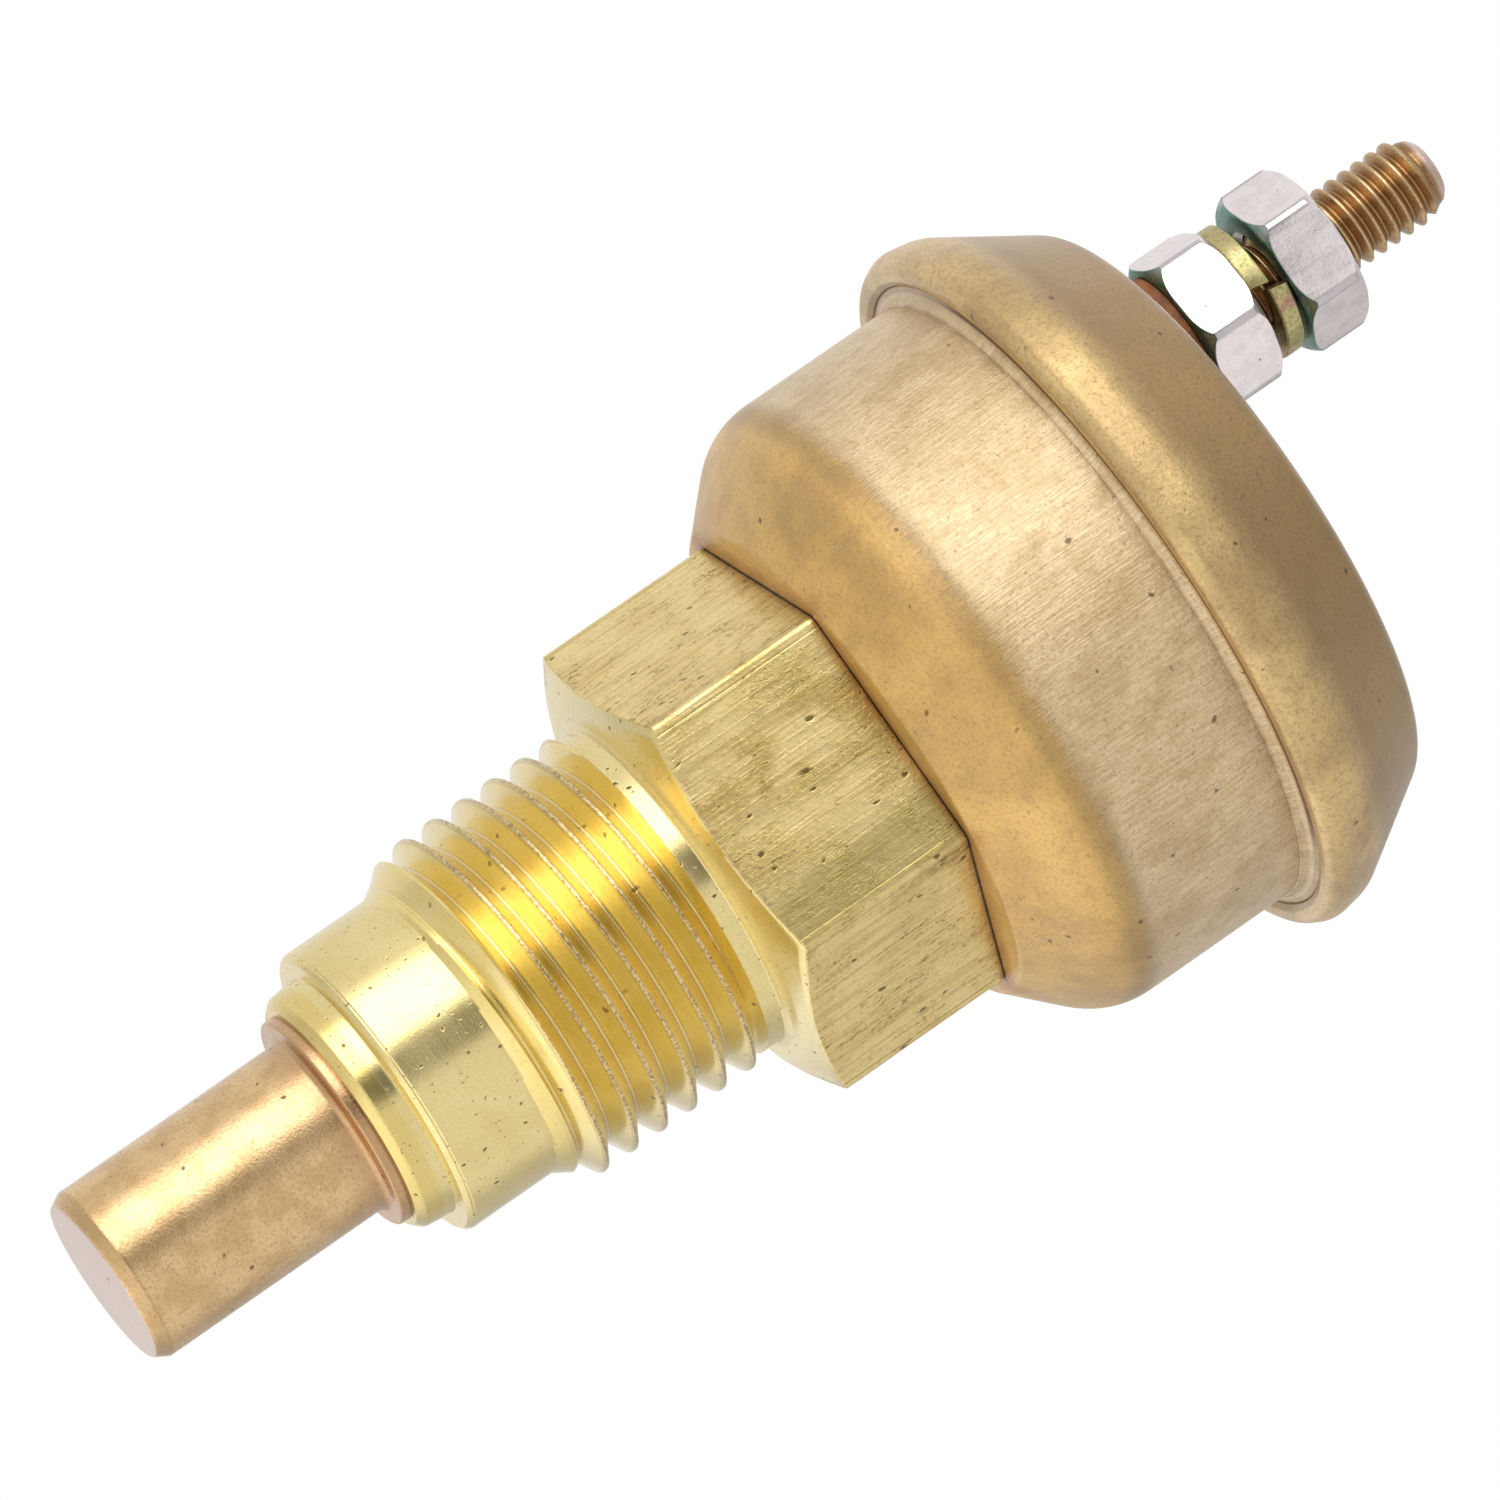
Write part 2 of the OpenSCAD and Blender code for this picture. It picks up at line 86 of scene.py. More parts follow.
# shank and hexagon
BULB_R = 4.05
BULB_NECK_R = 3.4
NOSE1_R = 5.75
NOSE2_R = 6.8
NOSE1_TOP = NOSE_Z + 1.65
NOSE2_TOP = NOSE_Z + 6.0
PORT_PITCH = 1.5
PORT_ROOT_R = PORT_R - 1.0
# lead-in below the port thread, as radius and height above the nose
PORT_LEAD = ((6.8, 0.0), (7.0, 0.3), (7.25, 0.72), (7.62, 1.12), (8.05, 1.62))
PORT_CREST_Z = -9.33                     # height of a crest at angle 0
NECK_R = 7.7
NECK_Z = (-1.0, -0.3)
SEAT_R = (8.1, 8.45)
HEX_FLAT = 9.5                           # half the width across flats
HEX_TURN = -2.5
HEX_CHAMFER = 0.37                       # rise for each millimetre of radius
HEX_CORNER = 0.3
HEX_GROOVE = 5.06                        # from the middle of a flat to the faint line by its corner
SPIGOT_R = 9.0
PASSAGE_R = 1.5
SOCKET_TOP = NOSE_Z + 3.6                # how far the bulb's neck reaches into the body

# bell and cover
BELL_WALL_R = 14.75
BRUSHED_Z = 13.4                         # where the brushing of the bell's wall starts
LIP_R = BELL[1].x - 0.42                 # inner edge of the cover's rolled lip

# terminal
STUD_PITCH = 0.7
STUD_CREST_R = STUD_R - 0.07
STUD_ROOT_R = STUD_R - 0.42
STUD_CORE_R = STUD_R - 0.22
STUD_CREST_Z = 0.56                      # height of a crest at angle 0, above the free thread's start
STUD_FREE_Z = TOP_NUT[1].z + 0.1
NUT_FLAT = 3.4
NUT_ROUND_R = 3.86
NUT_FACE_R = 3.42                        # where the rounded chamfer starts
NUT_SLOPE = 1.45                         # its rise is this times (radius - NUT_FACE_R) ** NUT_CURVE
NUT_CURVE = 1.6
NUT_BORE_R = 2.03

SHARP_ANGLE = 38                         # an edge that bends by more degrees than this stays crisp


# -------------------- outlines and grids of points
def rounded(corners, steps=4, closed=False):
    """Points of an outline given as (radius, height, fillet) corners, each corner rounded by its fillet."""
    points = []
    count = len(corners)
    for i, (r, z, fillet) in enumerate(corners):
        here = np.array((r, z), float)
        if not fillet or (not closed and i in (0, count - 1)):
            points.append(here)
            continue
        before = np.array(corners[i - 1][:2]) - here
        after = np.array(corners[(i + 1) % count][:2]) - here
        before /= np.linalg.norm(before)
        after /= np.linalg.norm(after)
        half = math.acos(max(-1.0, min(1.0, float(before @ after)))) / 2
        middle = before + after
        centre = here + middle / np.linalg.norm(middle) * fillet / math.sin(half)
        first = here + before * fillet / math.tan(half) - centre
        last = here + after * fillet / math.tan(half) - centre
        start = math.atan2(first[1], first[0])
        sweep = (math.atan2(last[1], last[0]) - start + math.pi) % (2 * math.pi) - math.pi
        for t in np.linspace(0, 1, steps + 1):
            a = start + sweep * t
            points.append(centre + fillet * np.array((math.cos(a), math.sin(a))))
    return points


def even_angles(count):
    """Evenly spaced angles round a full turn, in radians."""
    return np.arange(count) * 2 * math.pi / count


def hexagon_angles(turn, step, close):
    """Angles round a full turn: evenly spaced, and closer together by each corner of a hexagon."""
    found = {round(a, 3) for a in np.arange(0, 360, step)}
    for corner in range(6):
        middle = turn + 60 * corner
        found = {a for a in found if abs((a - middle + 180) % 360 - 180) > max(close)}
        found |= {round((middle + side * a) % 360, 3) for a in close for side in (-1, 1)}
    return np.radians(sorted(found))


def hexagon_radius(angles, flat, turn, corner):
    """Distance from the axis to the side of a hexagon whose corners are rounded, at each angle."""
    off = (np.degrees(angles) - turn) % 60 - 30
    tangent = math.degrees(math.atan((flat - corner) * math.tan(math.radians(30)) / flat))
    side = flat / np.cos(np.radians(off))
    from_corner = np.radians(30 - np.abs(off))
    reach = (flat - corner) / math.cos(math.radians(30))
    inside = np.maximum(corner ** 2 - (reach * np.sin(from_corner)) ** 2, 0)
    return np.where(np.abs(off) > tangent, reach * np.cos(from_corner) + np.sqrt(inside), side)


def ring(radius, height, angles, centre=(0.0, 0.0)):
    """One ring of points; radius and height are numbers, or one number for each angle."""
    radius = radius + np.zeros_like(angles)
    height = height + np.zeros_like(angles)
    return np.stack([centre[0] + radius * np.cos(angles), centre[1] + radius * np.sin(angles), height], 1)


def turned(outline, angles, centre=(0.0, 0.0)):
    """Rings of an outline of (radius, height) points turned about an upright axis."""
    return [ring(r, z, angles, centre) for r, z in outline]


def thread_form(crest_r, root_r, pitch, crest, root, round_crest, round_root):
    """One pitch of a 60 degree thread, from root to root, as (radius, height from the crest) points."""
    return rounded([(root_r, -pitch / 2, 0), (root_r, -pitch / 2 + root / 2, round_root),
                    (crest_r, -crest / 2, round_crest), (crest_r, crest / 2, round_crest),
                    (root_r, pitch / 2 - root / 2, round_root), (root_r, pitch / 2, 0)], 3)[:-1]


def in_between(form, pieces):
    """Splits every long step of an outline into pieces, so that a thread can fade in and out smoothly."""
    points = []
    for a, b in zip(form, form[1:]):
        count = pieces if np.linalg.norm(b - a) > 0.3 else 1
        points += [a + (b - a) * t / count for t in range(count)]
    return points + [form[-1]]


def helix_rows(form, pitch, crest_z, span, angles, limits, centre=(0.0, 0.0)):
    """Rows that follow a right-hand helix between two heights.
    limits(z) gives the least and the greatest radius at each height."""
    low, high = span
    first = math.floor((low - crest_z) / pitch) - 2
    last = math.ceil((high - crest_z) / pitch) + 2
    rows = []
    for k in range(first, last):
        for r, z in form:
            height = crest_z + pitch * k + z + pitch * angles / (2 * math.pi)
            height = np.clip(height, low, high)
            least, greatest = limits(height)
            rows.append(ring(np.clip(r, least, greatest), height, angles, centre))
    return rows


class Shell:
    """A mesh put together from grids of rings."""

    def __init__(self):
        self.points, self.faces, self.finish = [], [], []

    def add(self, rings, finish=0, closed=False, shift=0):
        """Joins rings into a skin. shift is how many rows a helix climbs in one turn."""
        rings = list(rings) + ([rings[0]] if closed else [])
        start = sum(len(p) for p in self.points)
        rows, columns = len(rings), len(rings[0])
        self.points.append(np.concatenate(rings))
        j, i = (a.ravel() for a in np.meshgrid(np.arange(rows - 1), np.arange(columns), indexing="ij"))
        lift = np.where(i + 1 == columns, shift, 0)
        keep = j + 1 + lift < rows
        j, i, lift = j[keep], i[keep], lift[keep]
        beside = (i + 1) % columns
        quads = np.stack([j * columns + i, (j + lift) * columns + beside,
                          (j + lift + 1) * columns + beside, (j + 1) * columns + i], 1) + start
        self.faces += quads.tolist()
        self.finish += [finish] * len(quads)

    def add_face(self, points, finish=0):
        """Adds one flat face."""
        start = sum(len(p) for p in self.points)
        self.points.append(np.array(points))
        self.faces.append(list(range(start, start + len(points))))
        self.finish.append(finish)

    def build(self, name, materials, body, replaces, shape=None):
        """Makes the object, welds its rings and hangs it on its CAD body."""
        points = np.concatenate(self.points)
        if shape is not None:
            points = shape(points)
        mesh = bpy.data.meshes.new(name)
        mesh.from_pydata((points * MM).tolist(), [], self.faces)
        mesh.polygons.foreach_set("material_index", self.finish)
        work = bmesh.new()
        work.from_mesh(mesh)
        bmesh.ops.remove_doubles(work, verts=work.verts, dist=2e-7)
        bmesh.ops.dissolve_degenerate(work, edges=work.edges, dist=1e-7)
        bmesh.ops.recalc_face_normals(work, faces=work.faces)
        work.to_mesh(mesh)
        work.free()
        mesh.shade_smooth()
        mesh.set_sharp_from_angle(angle=math.radians(SHARP_ANGLE))
        for material in materials:
            mesh.materials.append(material)
        obj = bpy.data.objects.new(name, mesh)
        bpy.context.scene.collection.objects.link(obj)
        even = obj.modifiers.new("even_normals", "WEIGHTED_NORMAL")
        even.keep_sharp = True
        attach(obj, body)
        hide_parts(*replaces)
        return obj


# -------------------- material helpers
class Graph:
    """Adds shader nodes by short calls, each of which returns an output socket."""

    def __init__(self, owner):
        owner.use_nodes = True
        self.tree = owner.node_tree
        self.tree.nodes.clear()

    def node(self, kind, values=(), out=0, **settings):
        made = self.tree.nodes.new(kind)
        for key, value in settings.items():
            setattr(made, key, value)
        for key, value in dict(values).items():
            if isinstance(value, bpy.types.NodeSocket):
                self.tree.links.new(value, made.inputs[key])
            else:
                made.inputs[key].default_value = value
        return made.outputs[out] if out is not None else made

    def math(self, operation, a, b=0.0):
        return self.node("ShaderNodeMath", {0: a, 1: b}, operation=operation)

    def times(self, a, b):
        return self.math("MULTIPLY", a, b)

    def plus(self, a, b):
        return self.math("ADD", a, b)

    def minus(self, a, b):
        return self.math("SUBTRACT", a, b)

    def scaled(self, vector, factors):
        return self.node("ShaderNodeVectorMath", {0: vector, 1: factors}, operation="MULTIPLY")

    def shifted(self, vector, offset):
        return self.node("ShaderNodeVectorMath", {0: vector, 1: offset}, operation="ADD")

    def smooth(self, value, low, high, to=(0.0, 1.0)):
        return self.node("ShaderNodeMapRange", {0: value, 1: low, 2: high, 3: to[0], 4: to[1]},
                         interpolation_type="SMOOTHSTEP")

    def blend(self, share, a, b):
        """A colour between a and b."""
        return self.node("ShaderNodeMix", {0: share, 6: a, 7: b}, out=2, data_type="RGBA")

    def layer(self, base, mask, share, colour):
        """The base with a share of another colour laid over it where the mask is 1."""
        return self.blend(self.times(mask, share), base, colour)

    def place(self, centre=(0.0, 0.0)):
        """Position in millimetres, measured from an upright axis."""
        position = self.scaled(self.node("ShaderNodeTexCoord", out=3), (1 / MM,) * 3)
        return self.shifted(position, (-centre[0], -centre[1], 0.0))

    def parts(self, vector):
        return self.node("ShaderNodeSeparateXYZ", {0: vector}, out=None).outputs

    def radius(self, position):
        flat = self.scaled(position, (1.0, 1.0, 0.0))
        return self.node("ShaderNodeVectorMath", {0: flat}, out=1, operation="LENGTH")

    def around(self, position):
        """The same direction from the axis, moved to a radius of 1, with its height kept."""
        r = self.radius(position)
        x, y, z = self.parts(position)
        return self.node("ShaderNodeCombineXYZ",
                         {0: self.math("DIVIDE", x, r), 1: self.math("DIVIDE", y, r), 2: z})

    def noise(self, vector, scale, detail=2.0, rough=0.5, bend=0.0):
        return self.node("ShaderNodeTexNoise", {"Vector": vector, "Scale": scale, "Detail": detail,
                                                "Roughness": rough, "Distortion": bend})

    def spots(self, vector, scale, size, share):
        """1 inside scattered uneven spots; share is the part of the cells that hold one."""
        wobble = self.node("ShaderNodeTexNoise", {"Vector": vector, "Scale": scale * 2.5}, out=1)
        moved = self.node("ShaderNodeVectorMath", {0: wobble, 1: (0.35 / scale,) * 3, 2: vector},
                          operation="MULTIPLY_ADD")
        cells = self.node("ShaderNodeTexVoronoi", {"Vector": moved, "Scale": scale}, out=None)
        inside = self.smooth(cells.outputs["Distance"], size, size * 0.45)
        pick = self.parts(cells.outputs["Color"])[0]
        return self.times(inside, self.math("LESS_THAN", pick, share))

    def scratches(self, vector, turn, scale, stretch, width):
        """Thin broken lines that run in one direction, turned about the Y axis."""
        turned_to = self.node("ShaderNodeMapping",
                              {"Vector": vector, "Rotation": (0.0, math.radians(turn), 0.0),
                               "Scale": (scale, scale, scale * stretch)})
        wave = self.noise(turned_to, 1.0, 2.0, 0.5)
        return self.smooth(self.math("ABSOLUTE", self.minus(wave, 0.5)), width, 0.0)

    def bump(self, height, distance):
        """A normal tilted by a height map; distance is in millimetres."""
        return self.node("ShaderNodeBump", {"Height": height, "Distance": distance * MM, "Strength": 1.0})

    def surface(self, colour, roughness, normal=None, metallic=1.0, **more):
        """Ends the material in a Principled shader; more holds other inputs, such as Coat_Weight."""
        values = {"Base Color": colour, "Roughness": roughness, "Metallic": metallic}
        values.update({key.replace("_", " "): value for key, value in more.items()})
        if normal is not None:
            values["Normal"] = normal
        shader = self.node("ShaderNodeBsdfPrincipled", values)
        self.node("ShaderNodeOutputMaterial", {"Surface": shader}, out=None)


def tint(r, g, b):
    """A colour given as the eye sees it, from 0 to 255, as linear light."""
    linear = (((c / 255 + 0.055) / 1.055) ** 2.4 if c > 10 else c / 255 / 12.92 for c in (r, g, b))
    return (*linear, 1.0)


def new_material(name):
    material = bpy.data.materials.new(name)
    return material, Graph(material)


def hexagon_distance(g, position):
    """How far a point is from the axis, measured square to the nearest flat of the hexagon."""
    found = None
    for k in range(3):
        a = math.radians(HEX_TURN + 30 + 60 * k)
        square = (math.cos(a), math.sin(a), 0.0)
        across = g.node("ShaderNodeVectorMath", {0: position, 1: square}, out=1, operation="DOT_PRODUCT")
        across = g.math("ABSOLUTE", across)
        found = across if found is None else g.math("MAXIMUM", found, across)
    return found


# -------------------- materials
def turned_brass():
    """Bright bar brass off the lathe: fine lines round it and scattered dark pits."""
    material, g = new_material("turned_brass")
    p = g.place()
    r = g.radius(p)
    z = g.parts(p)[2]
    rings = g.node("ShaderNodeCombineXYZ", {0: r, 1: z, 2: 0.0})
    lines = g.noise(g.scaled(rings, (9.0, 9.0, 1.0)), 1.0, 3.0, 0.6)
    cloud = g.noise(p, 0.5, 3.0, 0.55)
    speck = g.noise(p, 9.0, 2.0, 0.6)
    pits = g.spots(g.scaled(p, (1.0, 1.0, 0.8)), 1.6, 0.17, 0.42)
    fine_pits = g.spots(g.shifted(p, (3.1, 7.7, 1.3)), 3.2, 0.21, 0.42)
    gold = g.times(g.smooth(z, NOSE2_TOP - 0.3, NOSE2_TOP + 0.5), g.smooth(z, -0.9, -1.3))
    # painted reflection: a deeper gold on the rounded lip at the nose's lower end
    lip = g.times(g.smooth(z, NOSE_Z + 1.25, NOSE_Z + 1.0), 0.55)
    base = g.blend(g.smooth(cloud, 0.3, 0.7), tint(232, 212, 146), tint(240, 222, 160))
    base = g.layer(base, gold, 0.55, tint(226, 190, 104))
    base = g.blend(lip, base, tint(226, 200, 112))
    # painted reflection: the seat and the foot of the chamfer are made paler, for the white they reflect
    seat = g.times(g.smooth(z, -0.25, -0.05), g.smooth(r, HEX_FLAT + 0.9, SEAT_R[1]))
    base = g.layer(base, seat, 0.7, tint(246, 236, 196))
    base = g.layer(base, g.smooth(speck, 0.45, 0.7), 0.35, tint(205, 184, 112))
    base = g.layer(base, fine_pits, 0.6, tint(112, 90, 44))
    base = g.layer(base, pits, 0.85, tint(74, 54, 26))
    rough = g.plus(g.smooth(cloud, 0.3, 0.7, (0.15, 0.21)), g.times(speck, 0.06))
    rough = g.plus(rough, g.plus(g.times(pits, 0.3), g.times(seat, 0.18)))
    height = g.plus(g.times(lines, 0.5), g.times(speck, 1.1))
    height = g.minus(height, g.times(pits, 6.0))
    height = g.minus(height, g.times(fine_pits, 2.4))
    g.surface(base, rough, g.bump(height, 0.0028), Coat_Weight=0.3, Coat_Roughness=0.2)
    return material


def thread_brass():
    """Thread flanks of a deeper gold, with a paler bar surface left on the crests."""
    material, g = new_material("thread_brass")
    p = g.place()
    r = g.radius(p)
    z = g.parts(p)[2]
    speck = g.noise(p, 8.0, 2.0, 0.6)
    cloud = g.noise(p, 0.6, 3.0, 0.5)
    crest = g.smooth(r, PORT_R - 0.06, PORT_R - 0.02)
    under = g.times(g.smooth(r, PORT_R - 0.16, PORT_R - 0.10), g.smooth(r, PORT_R - 0.04, PORT_R - 0.08))
    # painted shade: browner in the roots of the thread
    root = g.smooth(r, PORT_ROOT_R + 0.08, PORT_ROOT_R + 0.03)
    root = g.times(root, g.smooth(z, NOSE2_TOP + 0.7, NOSE2_TOP + 1.0))
    chips = g.spots(p, 1.2, 0.2, 0.20)
    nicks = g.times(crest, g.smooth(g.noise(p, 3.0, 3.0, 0.6), 0.55, 0.62))
    gold = g.blend(g.smooth(cloud, 0.35, 0.65), tint(236, 213, 130), tint(240, 219, 142))
    gold = g.layer(gold, g.smooth(speck, 0.5, 0.75), 0.3, tint(196, 156, 78))
    gold = g.layer(gold, under, 0.4, tint(160, 122, 60))
    gold = g.layer(gold, root, 0.3, tint(160, 116, 50))
    pale = g.blend(g.smooth(speck, 0.42, 0.6), tint(222, 200, 144), tint(178, 146, 88))
    base = g.blend(crest, gold, pale)
    base = g.layer(base, nicks, 0.6, tint(140, 108, 62))
    base = g.layer(base, chips, 0.7, tint(104, 66, 28))
    rough = g.plus(g.smooth(crest, 0.0, 1.0, (0.21, 0.24)), g.times(speck, 0.06))
    height = g.plus(g.times(speck, g.smooth(crest, 0.0, 1.0, (0.8, 2.2))), g.times(chips, -3.0))
    g.surface(base, rough, g.bump(height, 0.003), Coat_Weight=0.8, Coat_Roughness=0.2, Coat_IOR=1.65)
    return material


def drawn_brass():
    """Faces of the hexagon as drawn: lines along the bar, crossing scratches, dents and dark pits."""
    material, g = new_material("drawn_brass")
    p = g.place()
    x, y, _ = g.parts(p)
    r = g.radius(p)
    lines = g.noise(g.scaled(p, (1.0, 1.0, 0.03)), 6.5, 3.0, 0.65)
    broad = g.noise(g.scaled(p, (1.0, 1.0, 0.06)), 1.5, 2.0, 0.5)
    lumps = g.noise(p, 4.6, 4.0, 0.62, 0.4)
    cloud = g.noise(p, 0.42, 3.0, 0.55)
    patch = g.smooth(cloud, 0.42, 0.6)
    front = g.smooth(y, -HEX_FLAT + 1.2, -HEX_FLAT + 0.4)
    cuts = g.math("MAXIMUM", g.scratches(p, 35, 1.9, 0.16, 0.022), g.scratches(p, -50, 2.3, 0.14, 0.02))
    cuts = g.times(cuts, g.times(patch, g.smooth(lumps, 0.42, 0.55)))
    pits = g.spots(g.scaled(p, (1.0, 1.0, 0.6)), 1.2, 0.17, 0.40)
    fine_pits = g.spots(g.shifted(p, (1.7, 4.1, 2.3)), 3.0, 0.2, 0.35)
    # a darker olive streak and a rust-coloured patch, both only on the flat that faces -Y
    olive = g.times(g.times(g.smooth(x, 1.6, 3.4), g.smooth(x, 5.4, 4.4)), front)
    rust = g.times(g.times(g.smooth(x, -0.4, -1.6), g.smooth(x, -4.2, -2.6)), g.times(front, patch))
    apart = hexagon_distance(g, p)
    along = g.math("SQRT", g.math("MAXIMUM", g.minus(g.times(r, r), g.times(apart, apart)), 0.0))
    groove = g.smooth(g.math("ABSOLUTE", g.minus(along, HEX_GROOVE)), 0.07, 0.02)
    base = g.blend(g.smooth(cloud, 0.3, 0.7), tint(244, 221, 158), tint(234, 208, 140))
    base = g.layer(base, g.smooth(lines, 0.5, 0.66), 0.5, tint(186, 162, 96))
    base = g.layer(base, g.smooth(broad, 0.5, 0.66), 0.35, tint(192, 168, 100))
    base = g.layer(base, g.smooth(lumps, 0.5, 0.7), 0.4, tint(176, 152, 88))
    base = g.layer(base, g.times(patch, front), 0.3, tint(160, 142, 84))
    base = g.layer(base, groove, 0.35, tint(150, 126, 70))
    base = g.layer(base, olive, 0.5, tint(150, 142, 84))
    base = g.layer(base, rust, 0.35, tint(176, 138, 74))
    base = g.layer(base, cuts, 0.75, tint(104, 84, 44))
    base = g.layer(base, fine_pits, 0.5, tint(126, 104, 58))
    base = g.layer(base, pits, 0.8, tint(84, 64, 34))
    rough = g.plus(0.27, g.times(lumps, 0.12))
    height = g.plus(g.times(lines, 4.4), g.plus(g.times(broad, 3.2), g.times(groove, -2.5)))
    height = g.plus(height, g.times(lumps, g.smooth(patch, 0.0, 1.0, (3.0, 6.5))))
    height = g.minus(height, g.times(cuts, 2.4))
    height = g.minus(height, g.plus(g.times(pits, 4.0), g.times(fine_pits, 1.6)))
    g.surface(base, rough, g.bump(height, 0.004))
    return material


def satin_copper():
    """Soft satin bronze of the bulb, finely speckled, browner where the flange is soldered on."""
    material, g = new_material("satin_copper")
    p = g.place()
    z = g.parts(p)[2]
    speck = g.noise(p, 7.0, 3.0, 0.65)
    fine = g.noise(p, 15.0, 2.0, 0.6)
    cloud = g.noise(p, 0.7, 3.0, 0.5)
    pits = g.spots(p, 1.0, 0.15, 0.22)
    fine_pits = g.spots(g.shifted(p, (2.3, 5.1, 0.7)), 2.8, 0.2, 0.24)
    heat = g.smooth(z, NOSE_Z - 2.4, NOSE_Z - 0.7)
    seam = g.smooth(z, NOSE_Z - 0.14, NOSE_Z - 0.04)
    rim = g.times(g.smooth(z, TIP_Z + 0.75, TIP_Z + 0.6), g.smooth(z, TIP_Z + 0.05, TIP_Z + 0.2))
    end = g.smooth(z, TIP_Z + 0.06, TIP_Z + 0.01)
    base = g.blend(g.smooth(cloud, 0.3, 0.7), tint(230, 196, 146), tint(221, 185, 134))
    base = g.layer(base, g.smooth(speck, 0.45, 0.7), 0.6, tint(176, 144, 100))
    base = g.layer(base, g.smooth(cloud, 0.45, 0.62), 0.25, tint(182, 146, 98))
    base = g.layer(base, heat, 0.6, tint(190, 148, 108))
    base = g.layer(base, rim, 0.4, tint(172, 140, 92))
    base = g.blend(end, base, tint(218, 198, 190))
    base = g.layer(base, seam, 0.5, tint(124, 86, 58))
    base = g.layer(base, fine_pits, 0.5, tint(128, 98, 64))
    base = g.layer(base, pits, 0.85, tint(80, 56, 34))
    rough = g.plus(g.smooth(speck, 0.3, 0.7, (0.22, 0.32)), g.times(end, 0.1))
    height = g.plus(g.times(speck, 4.0), g.times(fine, 1.8))
    height = g.minus(height, g.plus(g.times(pits, 5.0), g.times(fine_pits, 2.0)))
    g.surface(base, rough, g.bump(height, 0.0028), Coat_Weight=0.35, Coat_Roughness=0.3)
    return material


def crimp_shade_fade(g, x):
    """Strength of the painted shade in the crimp: 1 over most of the part and 0.35 at its two X sides, where
    it is drawn paler.
    """
    return g.smooth(g.math("ABSOLUTE", x), 14.3, 12.5, (0.35, 1.0))


def bell_bronze():
    """Satin drawn sheet, brushed along its straight wall and tinted by heat next to the hexagon, with painted
    shade in the gap under the cover's lip.
    """
    material, g = new_material("bell_bronze")
    p = g.place()
    r = g.radius(p)
    x, _, z = g.parts(p)
    brush = g.noise(g.scaled(g.around(p), (BELL[1].x, BELL[1].x, 0.06)), 11.0, 3.0, 0.7)
    ragged = g.plus(z, g.times(g.minus(brush, 0.5), 1.8))
    wall = g.smooth(ragged, BRUSHED_Z - 0.3, BRUSHED_Z + 0.4)
    speck = g.noise(p, 6.5, 3.0, 0.65)
    grain = g.noise(p, 3.2, 3.0, 0.6)
    cloud = g.noise(p, 0.28, 3.0, 0.55)
    blotch = g.noise(p, 0.75, 3.0, 0.6)
    pits = g.spots(p, 0.75, 0.13, 0.36)
    fine_pits = g.spots(g.shifted(p, (2.9, 0.7, 6.1)), 2.2, 0.18, 0.30)
    nicks = g.spots(g.scaled(p, (1.0, 1.0, 0.3)), 1.5, 0.16, 0.14)
    apart = hexagon_distance(g, p)
    line = g.smooth(apart, HEX_FLAT + 0.22, HEX_FLAT + 0.04)
    seam = g.smooth(g.plus(apart, g.times(g.minus(blotch, 0.5), 1.1)), HEX_FLAT + 1.3, HEX_FLAT + 0.2)
    # painted shade: dark brown on the flare, in the gap under the cover's rolled lip
    groove = g.times(g.smooth(r, BELL_WALL_R + 0.35, BELL_WALL_R + 0.45), crimp_shade_fade(g, x))
    edge = g.smooth(z, FLANGE_Z - 0.72, FLANGE_Z - 0.58)
    edge = g.times(edge, g.smooth(z, FLANGE_Z - 0.46, FLANGE_Z - 0.54))
    turn_line = g.smooth(z, BRUSHED_Z - 1.2, BRUSHED_Z - 0.4)
    turn_line = g.times(turn_line, g.smooth(ragged, BRUSHED_Z + 0.8, BRUSHED_Z))
    upper = g.smooth(z, FLANGE_Z - 2.4, FLANGE_Z - 0.9)
    satin = g.blend(g.smooth(cloud, 0.3, 0.7), tint(222, 184, 110), tint(208, 168, 95))
    brushed = g.blend(g.smooth(brush, 0.36, 0.64), tint(228, 205, 165), tint(206, 180, 136))
    base = g.blend(wall, satin, brushed)
    base = g.layer(base, g.smooth(blotch, 0.48, 0.66), 0.3, tint(176, 144, 86))
    base = g.layer(base, g.smooth(cloud, 0.48, 0.62), 0.3, tint(180, 150, 98))
    base = g.layer(base, g.smooth(speck, 0.48, 0.7), 0.4, tint(150, 120, 78))
    base = g.layer(base, turn_line, 0.4, tint(132, 104, 62))
    base = g.layer(base, seam, 0.85, tint(170, 114, 42))
    base = g.layer(base, line, 0.9, tint(66, 34, 28))
    base = g.blend(g.times(edge, g.smooth(blotch, 0.42, 0.6, (0.15, 0.4))), base, tint(136, 108, 66))
    # painted shade in the gap under the cover's lip
    base = g.layer(base, groove, 0.95, tint(100, 62, 26))
    base = g.blend(g.times(nicks, g.times(upper, 0.75)), base, tint(92, 72, 44))
    base = g.layer(base, fine_pits, 0.45, tint(130, 104, 68))
    base = g.layer(base, pits, 0.8, tint(92, 68, 40))
    rough = g.plus(g.smooth(wall, 0.0, 1.0, (0.5, 0.46)), g.times(speck, 0.08))
    height = g.plus(g.times(g.times(brush, wall), 9.0), g.plus(g.times(speck, 7.0), g.times(grain, 7.0)))
    height = g.minus(height, g.plus(g.times(pits, 5.0), g.times(fine_pits, 2.4)))
    height = g.minus(height, g.times(nicks, g.times(upper, 4.0)))
    g.surface(base, rough, g.bump(height, 0.0034), Coat_Weight=0.9, Coat_Roughness=0.38)
    return material


